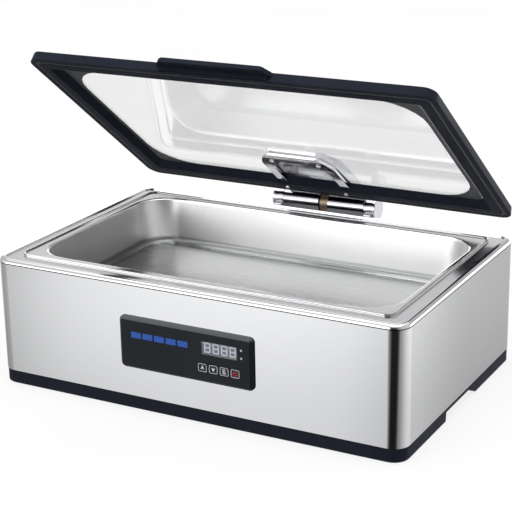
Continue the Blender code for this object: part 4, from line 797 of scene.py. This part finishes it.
def make_display_marks(slots):
    """A small lit tick at the upper left of each digit, and a dark ring round each indicator."""
    lit = slots["white_led"]
    for index in range(1, 5):
        low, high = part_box(f"digit_{index}")
        right, top = low.x - TICK_GAP, high.z
        foot = right - TICK_LEAN
        tick = [
            (right, top),
            (right - TICK_WIDTH, top),
            (foot - TICK_WIDTH, top - TICK_HEIGHT),
            (foot, top - TICK_HEIGHT),
        ]
        depth = high.y - low.y
        flat_piece(f"digit_{index}_tick", [tick], low.y, depth, "appliance", lit)
    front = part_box("control_bezel")[0].y - SURROUND_RELIEF
    dark = printed_ink("ink_dark", (0.0030, 0.0038, 0.0055))
    full_turn = 360 - 360 / (SURROUND_STEPS + 1)
    for name in ("indicator_run", "indicator_heat"):
        low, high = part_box(name)
        x, z = (low.x + high.x) / 2, (low.z + high.z) / 2
        inner = (high.x - low.x) / 2 + INK_DEPTH
        radii = (inner + SURROUND_WIDTH, inner)
        ring = [arc_points(x, z, radius, 0, full_turn, SURROUND_STEPS) for radius in radii]
        flat_piece(name + "_surround", ring, front, INK_DEPTH, "appliance", dark)


# ---------------------------------------------------------------- studio

def studio_light(tree, azimuth, elevation):
    """The light that each direction sends, before the gain."""
    turned = tree.math("ABSOLUTE", azimuth)

    def near(angle, middle, half):
        """1 close to the middle and 0 past the half-width from it, with a soft edge."""
        off = tree.math("ABSOLUTE", tree.math("SUBTRACT", angle, middle))
        return tree.ease(off, half, half - SOFT_EDGE)

    low = tree.light_table(azimuth, LOW_LIGHT)
    wall = tree.light_table(azimuth, WALL_LIGHT)
    front = tree.light_table(elevation, FRONT_LIGHT)
    back = tree.light_table(elevation, BACK_LIGHT)
    above = tree.mix_colours(tree.ease(turned, *FRONT_TO_BACK), front, back)
    sides = tree.mix_colours(tree.ease(elevation, *LOW_TO_WALL), low, wall)
    plain = tree.mix_colours(tree.ease(elevation, *WALL_TO_ABOVE), sides, above)
    box_across = near(azimuth, BOX_AZIMUTH, BOX_HALF_AZIMUTH)
    box_up = near(elevation, BOX_ELEVATION, BOX_HALF_ELEVATION)
    boxed = tree.mix_colours(tree.math("MULTIPLY", box_across, box_up), plain, BOX_LIGHT)
    sweep_up = near(elevation, SWEEP_ELEVATION, SWEEP_HALF_ELEVATION)
    sweep = tree.math("MULTIPLY", sweep_up, tree.ease(turned, *SWEEP_AZIMUTHS))
    return tree.mix_colours(sweep, boxed, SWEEP_LIGHT)


def studio_gain(tree, elevation):
    """The gain on that light."""
    rise = tree.math("MULTIPLY", tree.ease(elevation, *DIP_TO_RISE), FLOOR_RISE - FLOOR_DIP)
    settle = tree.math("MULTIPLY", tree.ease(elevation, *RISE_TO_ROOM), FLOOR_RISE - ROOM_GAIN)
    return tree.math("SUBTRACT", tree.math("ADD", rise, FLOOR_DIP), settle)


def make_world():
    """The studio: bright above, pale around, dark to the front right; the lens itself sees white."""
    world = bpy.data.worlds.new("studio")
    bpy.context.scene.world = world
    world.use_nodes = True
    world.node_tree.nodes.clear()
    tree = NodeTree(world.node_tree)
    way = tree.axes(tree.node("ShaderNodeTexCoord").outputs["Generated"])
    to_front = tree.math("MULTIPLY", way["Y"], -1.0)
    azimuth = tree.math("DEGREES", tree.math("ARCTAN2", way["X"], to_front))
    elevation = tree.math("DEGREES", tree.math("ARCSINE", way["Z"]))
    gain = tree.math("MULTIPLY", studio_gain(tree, elevation), 1.0 / STEEL_REFLECTANCE)
    around = tree.node("ShaderNodeBackground")
    tree.feed(around.inputs["Color"], studio_light(tree, azimuth, elevation))
    tree.feed(around.inputs["Strength"], gain)
    white = tree.node("ShaderNodeBackground")
    tree.feed(white.inputs["Color"], WHITE)
    path = tree.node("ShaderNodeLightPath").outputs
    bounces = tree.math("ADD", path["Glossy Depth"], path["Diffuse Depth"])
    straight = tree.math("LESS_THAN", bounces, 0.5)
    through = tree.math("MULTIPLY", path["Is Transmission Ray"], straight)
    choice = tree.node("ShaderNodeMixShader")
    tree.feed(choice.inputs[0], tree.math("MAXIMUM", path["Is Camera Ray"], through))
    tree.feed(choice.inputs[1], around.outputs[0])
    tree.feed(choice.inputs[2], white.outputs[0])
    tree.feed(tree.node("ShaderNodeOutputWorld").inputs[0], choice.outputs[0])


def make_floor():
    """A plain pale floor that takes only a faint shadow and stays out of the reflections."""
    work = bmesh.new()
    turns = ((-1, -1), (1, -1), (1, 1), (-1, 1))
    corners = [(x * FLOOR_HALF, y * FLOOR_HALF, FLOOR_LEVEL) for x, y in turns]
    work.faces.new([work.verts.new(corner) for corner in corners])
    mesh = bpy.data.meshes.new("studio_floor")
    work.to_mesh(mesh)
    work.free()
    shader = Shader("floor_pale")
    cloud = shader.noise(3.0, 2.0)
    shader.set(
        Specular_IOR_Level=0.0,
        Base_Color=shader.mottle(cloud, (0.14, 0.14, 0.14), (0.15, 0.15, 0.15)),
        Roughness=0.9,
        Emission_Color=WHITE,
        Emission_Strength=FLOOR_GLOW,
    )
    mesh.materials.append(shader.material)
    floor = add_object("studio_floor", mesh)
    floor.visible_glossy = False
    floor.visible_diffuse = False
    floor.visible_shadow = False


def make_top_light():
    """A broad soft light above, aimed at the middle of the appliance."""
    data = bpy.data.lights.new("soft_top", "AREA")
    data.shape = "RECTANGLE"
    data.size, data.size_y = TOP_LIGHT_SIZE
    data.energy = TOP_LIGHT_POWER
    lamp = add_object("soft_top", data)
    lamp.location = TOP_LIGHT_PLACE
    aim = (cad_box[0] + cad_box[1]) / 2 - Vector(TOP_LIGHT_PLACE)
    lamp.rotation_euler = aim.to_track_quat("-Z", "Y").to_euler()


def make_camera():
    """The photograph's own viewpoint."""
    data = bpy.data.cameras.new("camera")
    data.lens = CAMERA_LENS
    data.sensor_width = CAMERA_SENSOR
    data.clip_start = CAMERA_NEAR
    data.clip_end = CAMERA_FAR
    camera = add_object("camera", data)
    camera.location = CAMERA_PLACE
    camera.rotation_euler = [math.radians(turn) for turn in CAMERA_TURN]
    bpy.context.scene.camera = camera


def main():
    slots, special = make_materials()
    dress_nodes(slots, special)
    make_keys(slots)
    make_display_marks(slots)
    make_world()
    make_floor()
    make_top_light()
    make_camera()
    bpy.context.scene.view_settings.view_transform = "Standard"


main()
